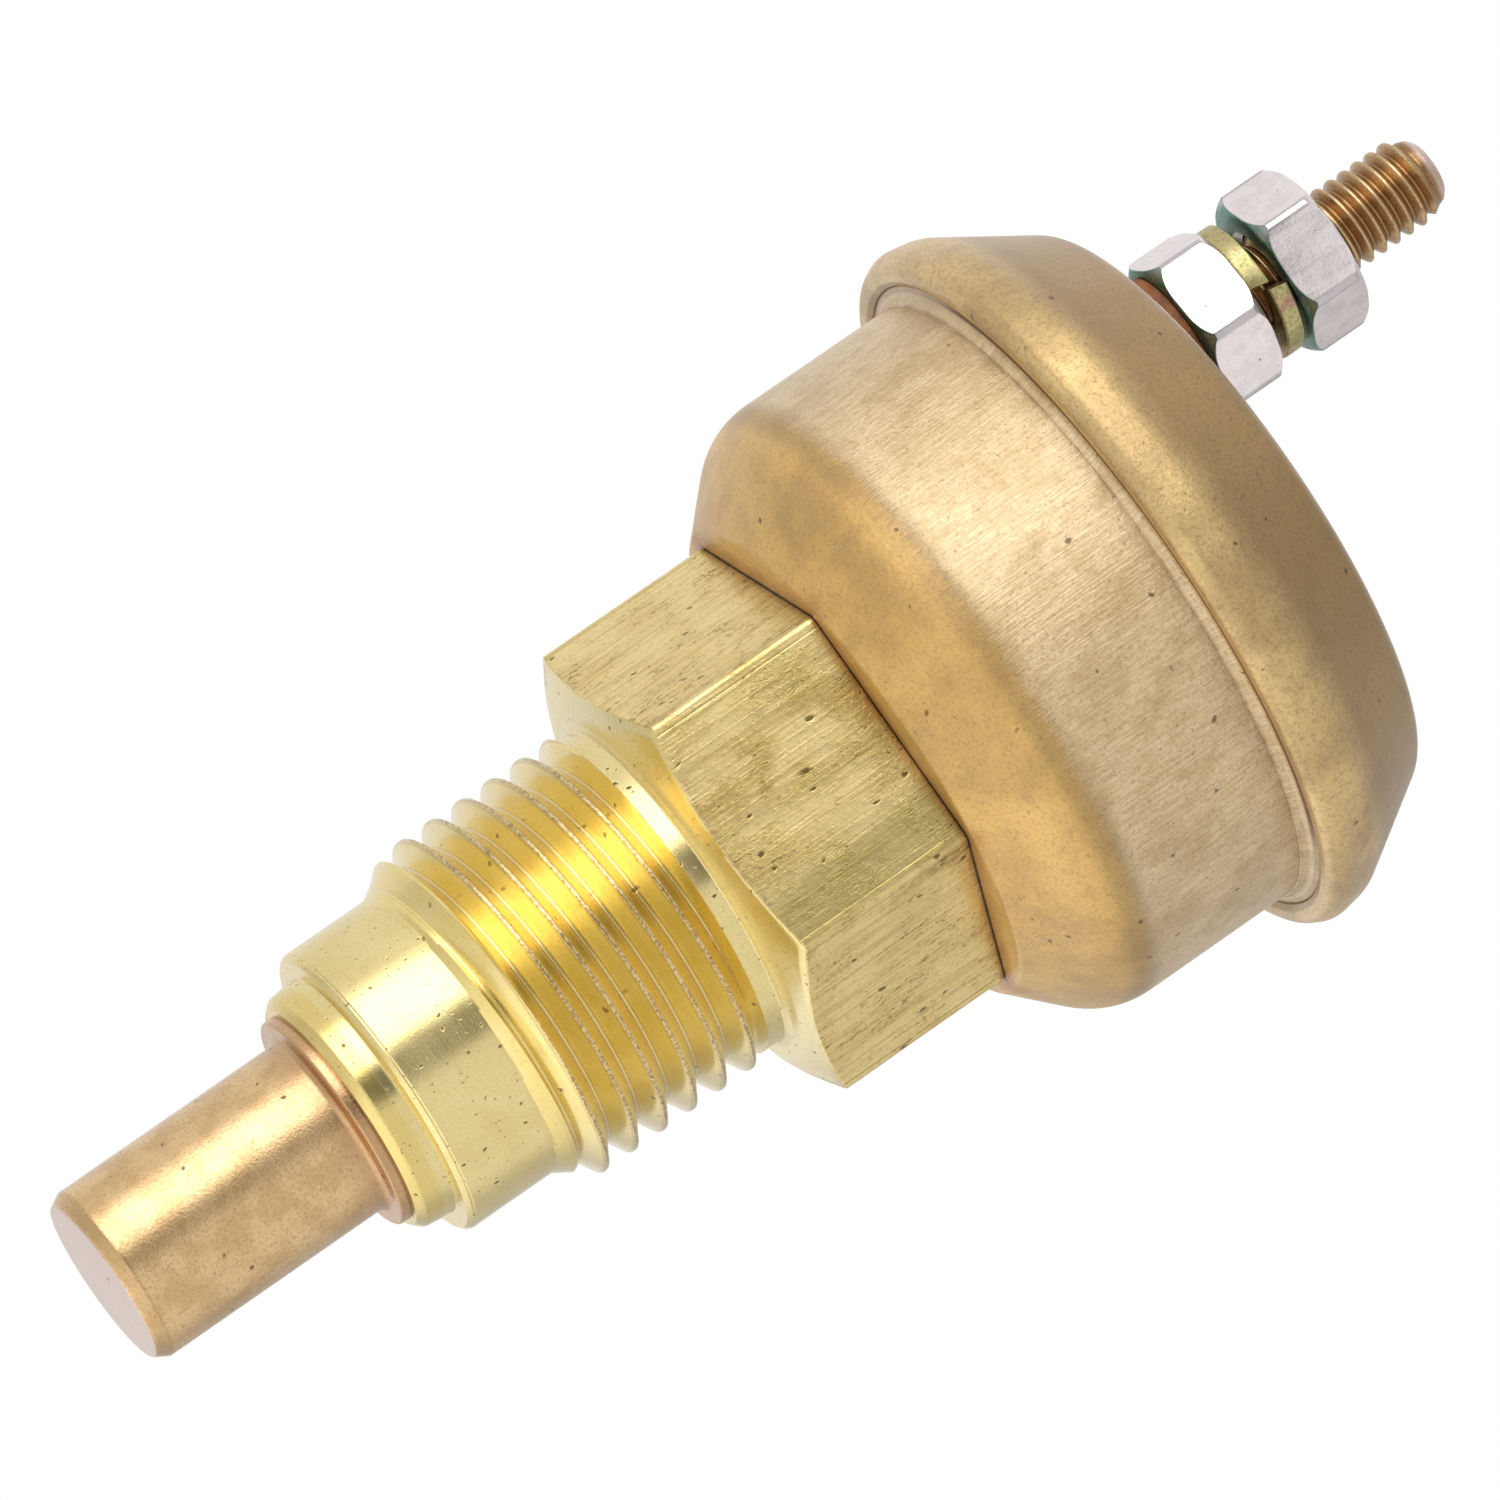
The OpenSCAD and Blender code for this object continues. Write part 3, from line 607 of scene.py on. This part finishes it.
def cover_bronze():
    """Darker satin sheet with faint spun lines, and painted shade down in the crimp."""
    material, g = new_material("cover_bronze")
    p = g.place()
    r = g.radius(p)
    x, _, z = g.parts(p)
    rings = g.node("ShaderNodeCombineXYZ", {0: r, 1: z, 2: 0.0})
    spun = g.noise(g.shifted(g.scaled(rings, (5.0, 5.0, 1.0)), g.scaled(p, (0.25,) * 3)), 1.0, 3.0, 0.6)
    speck = g.noise(p, 6.5, 3.0, 0.65)
    grain = g.noise(p, 3.0, 3.0, 0.6)
    cloud = g.noise(p, 0.22, 3.0, 0.55)
    pits = g.spots(p, 0.8, 0.12, 0.36)
    fine_pits = g.spots(g.shifted(p, (0.9, 3.7, 4.1)), 2.2, 0.18, 0.30)
    # painted shade: dark brown on the lip's underside, in the gap over the bell's flange
    crimp = g.times(g.smooth(r, LIP_R + 0.37, LIP_R + 0.17), g.smooth(z, FLANGE_Z + 0.3, FLANGE_Z + 0.1))
    crimp = g.times(crimp, crimp_shade_fade(g, x))
    slope = g.smooth(z, FLANGE_Z + 1.9, FLANGE_Z + 3.3)
    base = g.blend(slope, tint(218, 188, 127), tint(176, 144, 93))
    base = g.layer(base, g.smooth(cloud, 0.4, 0.62), 0.5, tint(160, 130, 86))
    base = g.layer(base, g.smooth(grain, 0.5, 0.66), 0.3, tint(150, 122, 80))
    base = g.layer(base, g.smooth(speck, 0.48, 0.7), 0.45, tint(134, 106, 70))
    base = g.layer(base, crimp, 0.95, tint(104, 64, 28))
    base = g.layer(base, fine_pits, 0.45, tint(116, 92, 60))
    base = g.layer(base, pits, 0.8, tint(86, 64, 40))
    rough = g.plus(g.smooth(cloud, 0.3, 0.7, (0.38, 0.44)), g.times(speck, 0.08))
    height = g.plus(g.times(spun, 2.4), g.plus(g.times(speck, 5.5), g.times(grain, 6.0)))
    height = g.minus(height, g.plus(g.times(pits, 5.0), g.times(fine_pits, 2.4)))
    g.surface(base, rough, g.bump(height, 0.0034), Coat_Weight=0.9, Coat_Roughness=0.38)
    return material


def nickel(name, nut):
    """Bright nickel plate on a nut, with blue-green in its lower chamfer and painted shade on its turned-down
    corners.
    """
    material, g = new_material(name)
    centre = ((nut[0].x + nut[1].x) / 2, 0.0)
    p = g.place(centre)
    r = g.radius(p)
    z = g.minus(g.parts(p)[2], nut[0].z)
    past_face = g.math("MAXIMUM", g.minus(r, NUT_FACE_R), 0.0)
    chamfer_z = g.times(g.math("POWER", past_face, NUT_CURVE), NUT_SLOPE)
    # blue-green on the lower chamfer, at the end that faces -Z
    low = g.smooth(g.minus(z, chamfer_z), 0.11, 0.05)
    speck = g.noise(p, 6.0, 3.0, 0.6)
    scratch = g.noise(g.scaled(p, (1.0, 1.0, 0.12)), 7.0, 2.0, 0.6)
    cloud = g.noise(p, 1.2, 2.0, 0.5)
    specks = g.spots(p, 2.6, 0.16, 0.12)
    base = g.blend(g.smooth(cloud, 0.35, 0.65), tint(243, 235, 235), tint(232, 224, 225))
    base = g.layer(base, g.smooth(speck, 0.55, 0.75), 0.35, tint(186, 174, 174))
    green = g.blend(g.smooth(cloud, 0.35, 0.65), tint(24, 124, 118), tint(50, 138, 118))
    green = g.blend(g.smooth(speck, 0.45, 0.62), green, tint(128, 150, 150))
    # painted shade: darker grey on the turned-down corners
    corner = g.smooth(r, NUT_ROUND_R - 0.09, NUT_ROUND_R - 0.04)
    base = g.layer(base, corner, 0.5, tint(150, 146, 152))
    base = g.layer(base, low, 0.9, green)
    base = g.layer(base, specks, 0.8, tint(120, 104, 96))
    rough = g.plus(g.smooth(low, 0.0, 1.0, (0.2, 0.34)), g.times(speck, 0.1))
    height = g.plus(g.times(speck, 3.0), g.times(scratch, 2.0))
    height = g.minus(height, g.times(specks, 3.0))
    g.surface(base, rough, g.bump(height, 0.003))
    return material


def yellow_zinc():
    """Yellow passivated zinc, which shifts between olive, straw and pink."""
    material, g = new_material("yellow_zinc")
    p = g.place((STUD_X, 0.0))
    hue = g.noise(p, 0.9, 3.0, 0.6, 0.5)
    speck = g.noise(p, 7.0, 3.0, 0.6)
    base = g.blend(g.smooth(hue, 0.36, 0.48), tint(186, 150, 130), tint(192, 182, 132))
    base = g.blend(g.smooth(hue, 0.5, 0.62), base, tint(170, 164, 112))
    base = g.layer(base, g.smooth(speck, 0.45, 0.7), 0.5, tint(120, 106, 74))
    g.surface(base, g.smooth(speck, 0.3, 0.7, (0.26, 0.4)), g.bump(speck, 0.008))
    return material


def stud_brass():
    """Rolled stud thread: darker brown in its roots and paler on its crests."""
    material, g = new_material("stud_brass")
    p = g.place((STUD_X, 0.0))
    r = g.radius(p)
    z = g.parts(p)[2]
    speck = g.noise(p, 7.0, 3.0, 0.6)
    cloud = g.noise(p, 1.1, 3.0, 0.55)
    crest = g.smooth(r, STUD_CREST_R - 0.13, STUD_CREST_R - 0.03)
    root = g.smooth(r, STUD_ROOT_R + 0.16, STUD_ROOT_R + 0.03)
    end = g.smooth(z, STUD[1].z - 0.55, STUD[1].z - 0.3)
    base = g.blend(g.smooth(cloud, 0.3, 0.7), tint(184, 148, 100), tint(168, 130, 84))
    base = g.layer(base, root, 0.7, tint(146, 110, 70))
    base = g.layer(base, crest, 0.8, tint(204, 176, 134))
    base = g.layer(base, g.smooth(speck, 0.5, 0.7), 0.5, tint(120, 84, 46))
    base = g.layer(base, end, 0.8, tint(226, 204, 194))
    rough = g.smooth(speck, 0.3, 0.7, (0.26, 0.4))
    g.surface(base, rough, g.bump(speck, 0.01), Coat_Weight=0.4, Coat_Roughness=0.3)
    return material


def plain_metal(name, colour, dark, rough):
    """Machined metal of the sealed mechanism, with drawn lines and a little tarnish."""
    material, g = new_material(name)
    p = g.place()
    lines = g.noise(g.scaled(p, (1.0, 1.0, 0.1)), 6.0, 3.0, 0.6)
    cloud = g.noise(p, 0.8, 3.0, 0.55)
    base = g.blend(g.smooth(cloud, 0.35, 0.7), colour, dark)
    g.surface(base, g.smooth(lines, 0.3, 0.7, (rough, rough + 0.12)), g.bump(lines, 0.006))
    return material


def moulded(name, colour, dark, rough, grain):
    """Fibre, phenolic or rubber: a fine grain over a mottled colour."""
    material, g = new_material(name)
    p = g.place()
    fine = g.noise(p, grain, 4.0, 0.65)
    cloud = g.noise(p, 1.4, 3.0, 0.55)
    base = g.blend(g.smooth(cloud, 0.3, 0.7), colour, dark)
    base = g.layer(base, g.smooth(fine, 0.5, 0.75), 0.4, dark)
    g.surface(base, g.smooth(fine, 0.3, 0.7, (rough, rough + 0.15)), g.bump(fine, 0.012), metallic=0.0)
    return material


# -------------------- pieces
def make_bulb():
    """Closed copper tube with a soldering flange, and a neck that goes up into the body."""
    wall = 0.5
    inner = BULB_NECK_R - wall
    flange_z = NOSE_Z - 0.5
    floor_z = TIP_Z + 0.9
    outline = rounded([
        (0, TIP_Z, 0), (BULB_R - 0.35, TIP_Z, 0.05), (BULB_R, TIP_Z + 0.6, 0.25), (BULB_R, flange_z, 0.4),
        (BULB[1].x, flange_z, 0.14), (BULB[1].x, NOSE_Z, 0), (BULB_NECK_R, NOSE_Z, 0),
        (BULB_NECK_R, SOCKET_TOP, 0), (inner, SOCKET_TOP, 0), (inner, flange_z - 0.6, 0),
        (BULB_R - wall, flange_z - 1.2, 0), (BULB_R - wall, floor_z, 0), (0, floor_z, 0)])
    shell = Shell()
    shell.add(turned(outline, even_angles(160)))
    return shell.build("bulb", [satin_copper()], "housing", ["sensing_bulb"])


def port_limits(z):
    """Least and greatest radius of the port thread: a lead-in cone below, and a run-out above."""
    lead_r, lead_z = np.array(PORT_LEAD).T
    cone = np.interp(z, lead_z + NOSE2_TOP, lead_r)
    least = np.interp(z, [NECK_Z[0] - 0.35, NECK_Z[0]], [PORT_ROOT_R, NECK_R])
    greatest = np.interp(z, [NECK_Z[0] - 0.12, NECK_Z[0]], [PORT_R, NECK_R])
    return np.minimum(least, cone), np.minimum(greatest, cone)


def make_body():
    """Nose, thread, seat, hexagon and rolled spigot, as one turned and drawn piece."""
    angles = hexagon_angles(HEX_TURN, 1.5, (0, 0.2, 0.4, 0.6, 0.8, 1.0, 1.5))
    shell = Shell()
    lower = rounded([
        (BULB_NECK_R, NOSE_Z, 0), (NOSE1_R - 0.45, NOSE_Z, 0.1), (NOSE1_R - 0.09, NOSE_Z + 0.36, 0.4),
        (NOSE1_R, NOSE_Z + 1.1, 0.4), (NOSE1_R, NOSE1_TOP - 0.16, 0), (NOSE1_R + 0.05, NOSE1_TOP - 0.03, 0),
        (NOSE1_R + 0.14, NOSE1_TOP, 0), (NOSE2_R - 0.24, NOSE1_TOP, 0.08),
        (NOSE2_R - 0.03, NOSE1_TOP + 0.2, 0.05), (NOSE2_R - 0.05, NOSE1_TOP + 0.27, 0),
        (NOSE2_R, NOSE1_TOP + 0.33, 0.02), (NOSE2_R, NOSE2_TOP, 0)])
    shell.add(turned(lower, angles))
    form = thread_form(PORT_R, PORT_ROOT_R, PORT_PITCH, 0.13, 0.12, 0.03, 0.06)
    form = in_between(form, 5)
    rows = helix_rows(form, PORT_PITCH, PORT_CREST_Z, (NOSE2_TOP, NECK_Z[0]), angles, port_limits)
    shell.add(rows, finish=1, shift=len(form))
    hexagon = hexagon_radius(angles, HEX_FLAT, HEX_TURN, HEX_CORNER)
    chamfer_z = (hexagon - SEAT_R[1]) * HEX_CHAMFER
    neck = rounded([(NECK_R, NECK_Z[0], 0), (NECK_R, NECK_Z[1] + 0.1, 0.12), (SEAT_R[0] - 0.03, -0.03, 0.04),
                    (SEAT_R[0] + 0.08, 0, 0), (SEAT_R[1], 0, 0)])
    chamfer = [ring(SEAT_R[1] + (hexagon - SEAT_R[1]) * t, chamfer_z * t, angles)
               for t in (0.25, 0.5, 0.75, 0.97)]
    shell.add(turned(neck, angles) + chamfer)
    top = HEX_TOP - 0.12
    foot = chamfer_z + 0.04
    flats = [ring(hexagon, foot + (top - foot) * t, angles) for t in np.linspace(0, 1, 37)]
    shell.add([chamfer[-1]] + flats + [ring(hexagon - 0.03, HEX_TOP - 0.03, angles),
                                       ring(hexagon - 0.12, HEX_TOP, angles)], finish=2)
    spigot = [(SPIGOT_R, HEX_TOP), (SPIGOT_R, BODY_TOP - 0.7), (SPIGOT_R + 0.9, BODY_TOP - 0.7),
              (SPIGOT_R + 0.9, BODY_TOP - 0.4), (SPIGOT_R + 0.5, BODY_TOP), (PASSAGE_R, BODY_TOP),
              (PASSAGE_R, SOCKET_TOP), (BULB_NECK_R, SOCKET_TOP), (BULB_NECK_R, NOSE_Z)]
    shell.add([ring(hexagon - 0.12, HEX_TOP, angles)] + turned(spigot, angles))

    def dented(points):
        """Presses faint hollows and waves into the hexagon's flats."""
        moved = points.copy()
        r = np.hypot(points[:, 0], points[:, 1])
        on_flat = (points[:, 2] > 0.3) & (points[:, 2] < top + 0.01) & (r > HEX_FLAT - 0.01)
        for k in np.flatnonzero(on_flat):
            p = points[k]
            wave = noise.noise(Vector((p[0] * 0.7, p[1] * 0.7, p[2] * 0.25)))
            lump = noise.noise(Vector(p) * 2.1)
            moved[k, :2] -= p[:2] / r[k] * (0.012 + 0.014 * wave + 0.006 * lump)
        return moved

    finishes = [turned_brass(), thread_brass(), drawn_brass()]
    return shell.build("hexagon_body", finishes, "housing", ["hex_body"], shape=dented)


def make_bell():
    """Drawn bell: floor, sloped shoulder, straight wall and flange, outside and in."""
    wall_r = BELL_WALL_R
    sheet = 0.8
    shoulder = 3.8
    slope_r = 11.51                              # where the 45 degree slope would meet the floor
    slope_top = HEX_TOP + wall_r - slope_r
    flare_r = wall_r + 0.62
    outside = [(SPIGOT_R, HEX_TOP, 0), (slope_r, HEX_TOP, 0.35), (wall_r, slope_top, shoulder),
               (wall_r, FLANGE_Z - 0.58, 0.03), (wall_r + 0.06, FLANGE_Z - 0.55, 0.03),
               (wall_r + 0.22, FLANGE_Z - 0.22, 0.3), (flare_r, FLANGE_Z - 0.07, 0.08),
               (flare_r + 0.06, FLANGE_Z, 0.02), (BELL[1].x, FLANGE_Z, 0.05), (BELL[1].x, FLANGE_TOP, 0.12)]
    inside_slope = slope_r + sheet * (math.sqrt(2) - 1)
    inside = [(wall_r - sheet, FLANGE_TOP, 0.2),
              (wall_r - sheet, HEX_TOP + sheet + wall_r - sheet - inside_slope, shoulder - sheet),
              (inside_slope, HEX_TOP + sheet, 0.2), (SPIGOT_R, HEX_TOP + sheet, 0)]
    outline = rounded(outside + inside, 10, closed=True)
    shell = Shell()
    shell.add(turned(outline, even_angles(224)), closed=True)
    return shell.build("bell", [bell_bronze()], "housing", ["bell_case"])


def make_cover():
    """Domed cover with its crimped bead, rounded rim and flat top with the stud's hole."""
    sheet = 0.7
    slope = math.radians(32)
    bead_round = 2.2
    bead_z = FLANGE_Z + 1.02
    hole_r = (SEAL[1].x - SEAL[0].x) / 2 - 0.52

    def side(z, inwards):
        return (BEAD_R - bead_round + bead_round / math.cos(slope) - inwards / math.cos(slope)
                - (z - bead_z) * math.tan(slope))

    outside = rounded([
        (LIP_R, FLANGE_Z - 0.02, 0), (LIP_R + 0.04, FLANGE_Z - 0.11, 0.04), (LIP_R + 0.3, COVER[0].z, 0.15),
        (BEAD_R - 0.36, COVER[0].z - 0.02, 0.5), (BEAD_R + 0.06, bead_z - 0.5, 0.9),
        (side(bead_z + 0.9, 0), bead_z + 0.9, bead_round), (side(COVER_TOP, 0), COVER_TOP, 1.5),
        (side(COVER_TOP, 0) - 2.5, COVER_TOP, 0)], 8)
    wall_r = BELL[1].x + 0.05
    roof = COVER_TOP - sheet
    bend_z = bead_z + (side(bead_z, sheet) - wall_r) / math.tan(slope)
    inside = rounded([
        (side(roof, sheet) - 2.5, roof, 0), (side(roof, sheet), roof, 0.8), (wall_r, bend_z, 0.8),
        (wall_r, FLANGE_Z - 0.02, 0), (LIP_R, FLANGE_Z - 0.02, 0)], 6)
    angles = even_angles(224)
    hole = (STUD_X, 0.0)

    def plate(r, z, share):
        """A ring part of the way from the cover's rim to the stud's hole."""
        return ring(r + (hole_r - r) * share, z, angles, (hole[0] * share, 0.0))

    top_r, roof_r = outside[-1][0], inside[0][0]
    shares = (0.25, 0.5, 0.75, 0.93)
    over = [plate(top_r, COVER_TOP, s) for s in shares]
    edge = [ring(hole_r + 0.12, COVER_TOP, angles, hole), ring(hole_r + 0.03, COVER_TOP - 0.04, angles, hole),
            ring(hole_r, COVER_TOP - 0.14, angles, hole), ring(hole_r, roof, angles, hole)]
    under = [plate(roof_r, roof, s) for s in reversed(shares)]
    shell = Shell()
    shell.add(turned(outside, angles) + over + edge + under + turned(inside, angles))
    return shell.build("cover", [cover_bronze()], "housing", ["top_cover"])


def make_washer(name, node_box, inner_r, material, node, round_edge):
    """A flat insulating ring on the stud, with softened edges."""
    low, high = node_box
    outer_r = (high.x - low.x) / 2
    corners = [(inner_r, low.z), (outer_r, low.z), (outer_r, high.z), (inner_r, high.z)]
    outline = rounded([(r, z, round_edge) for r, z in corners], 4, closed=True)
    shell = Shell()
    shell.add(turned(outline, even_angles(96), (STUD_X, 0.0)), closed=True)
    return shell.build(name, [material], "housing", [node])


def make_nut(name, node_box, turn, material, body, node):
    """Hexagon nut chamfered at both ends, with rounded corners and a countersunk bore."""
    low, high = node_box[0].z, node_box[1].z
    angles = hexagon_angles(turn, 3, (0, 0.7, 1.4, 2.1, 2.8, 3.6, 5))
    centre = (STUD_X, 0.0)
    side = np.minimum(hexagon_radius(angles, NUT_FLAT, turn, 0.3), NUT_ROUND_R)
    depth = np.maximum(side - NUT_FACE_R, 0) ** NUT_CURVE * NUT_SLOPE
    soft = 0.06

    def end(z, up):
        """Rings from the bore out to the flats, for the end at z; up is 1 for the lower end."""
        face = [(NUT_BORE_R, z + up * 0.4), (NUT_BORE_R + 0.34, z + up * 0.03), (NUT_BORE_R + 0.42, z),
                (NUT_FLAT - 0.14, z), (NUT_FLAT - 0.08, z + up * 0.02)]
        rings = turned(face, angles, centre)
        for t in (0.35, 0.6, 0.8, 0.95):
            out_to = NUT_FLAT - 0.03 + (side - NUT_FLAT) * t
            rings.append(ring(out_to, z + up * (0.03 + depth * t ** NUT_CURVE), angles, centre))
        rings.append(ring(side - 0.008, z + up * (0.03 + depth + soft * 0.4), angles, centre))
        rings.append(ring(side, z + up * (0.03 + depth + soft * 1.6), angles, centre))
        return rings

    shell = Shell()
    shell.add(end(low, 1) + end(high, -1)[::-1], closed=True)
    return shell.build(name, [material], body, [node])


def make_lock_washer():
    """Split spring washer: a ring cut through, with one end sprung higher than the other."""
    low, high = LOCK[0].z, LOCK[1].z
    inner_r, outer_r, thick = 2.12, 3.2, 0.92
    split, half_gap = 276, 4                     # degrees
    cut_slant = 3.0                              # degrees, from the washer's underside to its top
    rise = high - low - thick
    section = rounded([(inner_r, 0, 0.1), (outer_r, 0, 0.13), (outer_r, thick, 0.13), (inner_r, thick, 0.1)],
                      3, closed=True)
    steps = 96
    slices = []
    for i in range(steps + 1):
        t = i / steps
        slant = cut_slant if i in (0, steps) else 0.0
        z = low + rise * (1 - t) ** 2
        slices.append([])
        for r, h in section:
            a = math.radians(split + half_gap + (360 - 2 * half_gap) * t + slant * (h / thick - 0.5))
            slices[-1].append((STUD_X + r * math.cos(a), r * math.sin(a), z + h))
    shell = Shell()
    shell.add([np.array(s) for s in slices])
    shell.add_face(slices[0])
    shell.add_face(slices[-1][::-1])
    return shell.build("spring_washer", [yellow_zinc()], "spring_washer", ["lock_washer"])


def make_stud():
    """Terminal stud: a plain root in the cover, then a rolled thread up to a chamfered end."""
    end_z = STUD[1].z
    angles = even_angles(96)
    centre = (STUD_X, 0.0)
    head_r = 2.6
    head_z = STUD[0].z + 0.7
    end_r = 1.6
    start = LOWER_NUT[0].z + 0.5
    top = end_z - 0.55

    def limits(z):
        """Least and greatest radius of the stud's thread, which fades in and out at its ends."""
        least = np.interp(z, [start, start + 0.05, top - 0.2, top],
                          [STUD_CORE_R, STUD_ROOT_R, STUD_ROOT_R, end_r])
        greatest = np.interp(z, [start, start + 0.1, top - 0.5, top],
                             [STUD_CORE_R, STUD_CREST_R, STUD_CREST_R, end_r])
        return least, greatest

    form = thread_form(STUD_CREST_R, STUD_ROOT_R, STUD_PITCH, 0.1, 0.1, 0.05, 0.06)
    shell = Shell()
    shell.add(turned([(0, STUD[0].z), (head_r - 0.1, STUD[0].z), (head_r, STUD[0].z + 0.1),
                      (head_r, head_z), (STUD_CORE_R, head_z), (STUD_CORE_R, start)], angles, centre))
    shell.add(helix_rows(form, STUD_PITCH, STUD_FREE_Z + STUD_CREST_Z, (start, top), angles, limits, centre),
              shift=len(form))
    tip = rounded([(end_r, top, 0), (end_r - 0.1, end_z - 0.25, 0.2), (1.22, end_z, 0.14), (0, end_z, 0)])
    shell.add(turned(tip, angles, centre))
    return shell.build("stud", [stud_brass()], "housing", ["terminal_stud"])


def finish_inner_nodes():
    """Gives each CAD piece of the sealed mechanism its own procedural finish."""
    gold = plain_metal("pressed_brass", tint(214, 186, 112), tint(184, 152, 84), 0.24)
    steel = plain_metal("spring_steel_wire", tint(150, 150, 156), tint(112, 110, 116), 0.22)
    silver = plain_metal("contact_silver", tint(226, 224, 218), tint(190, 186, 176), 0.16)
    bronze = plain_metal("bellows_bronze", tint(206, 160, 104), tint(176, 128, 78), 0.22)
    phenolic = moulded("phenolic_board", tint(96, 56, 34), tint(58, 32, 20), 0.4, 9.0)
    fibre = moulded("red_fibre", tint(150, 60, 44), tint(112, 40, 30), 0.6, 12.0)
    rubber = moulded("black_rubber_seal", tint(40, 38, 38), tint(24, 22, 22), 0.5, 8.0)
    finishes = {
        "crimp_gasket": rubber, "base_plate": phenolic, "insulator_bush": phenolic, "inner_insulator": fibre,
        "earth_ring": gold, "bellows_ring": gold, "bellows_cap": gold, "guide_bush": gold,
        "pivot_bracket": gold, "bracket_rivets": gold, "contact_arm": gold, "bellows": bronze,
        "range_spring": steel, "arm_return_spring": steel, "push_pin": steel, "pivot_pin": steel,
        "moving_contact": silver, "fixed_contact": silver}
    for node, material in finishes.items():
        for slot in frame["nodes"][node].material_slots:
            slot.material = material


# -------------------- stage, light and camera
def make_floor():
    """A pale floor far below the part, left out of its reflections, bounced light and shadows."""
    depth = 0.75
    reach = 12.0
    mesh = bpy.data.meshes.new("floor")
    mesh.from_pydata([(x * reach, y * reach, -depth) for x, y in ((-1, -1), (1, -1), (1, 1), (-1, 1))], [],
                     [(0, 1, 2, 3)])
    floor = bpy.data.objects.new("floor", mesh)
    bpy.context.scene.collection.objects.link(floor)
    material, g = new_material("floor_paper")
    grain = g.noise(g.place(), 0.02, 2.0)
    g.surface(g.blend(grain, (0.95, 0.95, 0.95, 1), (0.97, 0.97, 0.97, 1)), 0.9, metallic=0.0)
    mesh.materials.append(material)
    floor.visible_glossy = False
    floor.visible_diffuse = False
    floor.visible_shadow = False


def make_light():
    """A white tent: a soft box to the left, a dim patch by the camera, and walls of uneven brightness."""
    world = bpy.data.worlds.new("tent")
    bpy.context.scene.world = world
    g = Graph(world)
    direction = g.node("ShaderNodeTexCoord", out=0)
    x, y, z = g.parts(direction)
    turn = g.math("ARCTAN2", g.times(x, -1.0), g.times(y, -1.0))     # from -Y towards -X
    lift = g.math("ARCSINE", z)
    deg = math.radians

    def window(value, low, high, soft_low, soft_high):
        return g.times(g.smooth(value, deg(low - soft_low), deg(low + soft_low)),
                       g.smooth(value, deg(high + soft_high), deg(high - soft_high)))

    box = g.times(window(turn, 22, 66, 2, 8), window(lift, -25, 42, 8, 12))
    camera_side = g.times(window(turn, -9, 19, 5, 2), window(lift, -20, 13, 10, 2.5))
    under = g.smooth(lift, deg(-35), deg(-65))
    over = g.smooth(lift, deg(45), deg(75))
    low_side = g.times(g.smooth(turn, deg(-95), deg(-135)), g.smooth(turn, deg(-178), deg(-160)))
    low_side = g.times(low_side, g.smooth(lift, deg(-30), deg(-8)))
    below = g.smooth(lift, deg(-20), deg(-38))
    from_below = g.smooth(turn, deg(100), deg(-60), (0.75, 1.3))
    high = g.times(window(turn, -110, 10, 20, 15), g.smooth(lift, deg(25), deg(45)))
    level = 0.88
    value = g.plus(level, g.times(box, 2.0))
    value = g.times(value, g.plus(1.0, g.times(below, g.minus(from_below, 1.0))))
    for patch, share in ((camera_side, 0.22), (over, 0.8), (under, 1.2), (low_side, 0.65), (high, 0.72)):
        value = g.times(value, g.smooth(patch, 0, 1, (1.0, share)))
    tent = g.node("ShaderNodeBackground", {0: (1.0, 0.985, 0.97, 1.0), 1: value})
    # the camera sees plain white where the part is lit by the tent
    paper = g.node("ShaderNodeBackground", {0: (1, 1, 1, 1), 1: 1.0})
    seen = g.node("ShaderNodeLightPath", out=0)
    shown = g.node("ShaderNodeMixShader", {0: seen, 1: tent, 2: paper})
    g.node("ShaderNodeOutputWorld", {"Surface": shown}, out=None)


def make_camera():
    """Looks across the axis, a little from the bulb's side, and rolled as the part lies in the picture."""
    tilt, roll = math.radians(12.3), math.radians(34.62)
    distance = 0.6
    aim = Vector((-0.00288, 0, 0.0058))
    forward = Vector((0, math.cos(tilt), math.sin(tilt)))
    axis_up = Vector((0, -math.sin(tilt), math.cos(tilt)))
    left = Vector((-1, 0, 0))
    right = math.cos(roll) * axis_up - math.sin(roll) * left
    up = math.sin(roll) * axis_up + math.cos(roll) * left
    camera = bpy.data.cameras.new("camera")
    camera.sensor_width = 36
    camera.lens = 347.8
    obj = bpy.data.objects.new("camera", camera)
    bpy.context.scene.collection.objects.link(obj)
    facing = Matrix((right, up, -forward)).transposed().to_4x4()
    obj.matrix_world = Matrix.Translation(aim - forward * distance) @ facing
    bpy.context.scene.camera = obj


make_bulb()
make_body()
make_bell()
make_cover()
seal_rubber = moulded("seal_rubber", tint(38, 34, 32), tint(22, 20, 20), 0.5, 8.0)
make_washer("seal", SEAL, 2.78, seal_rubber, "seal_ring", 0.15)
brown_fibre = moulded("brown_fibre", tint(150, 92, 48), tint(112, 66, 34), 0.55, 10.0)
make_washer("insulator", FIBRE, STUD_CORE_R + 0.05, brown_fibre, "insulating_washer", 0.12)
make_nut("clamp_nut", LOWER_NUT, -17.5, nickel("nickel_lower", LOWER_NUT), "housing", "lower_nut")
make_lock_washer()
make_nut("wire_nut", TOP_NUT, 3.5, nickel("nickel_upper", TOP_NUT), "upper_nut", "terminal_nut")
make_stud()
finish_inner_nodes()
make_floor()
make_light()
make_camera()
bpy.context.scene.view_settings.view_transform = "Standard"
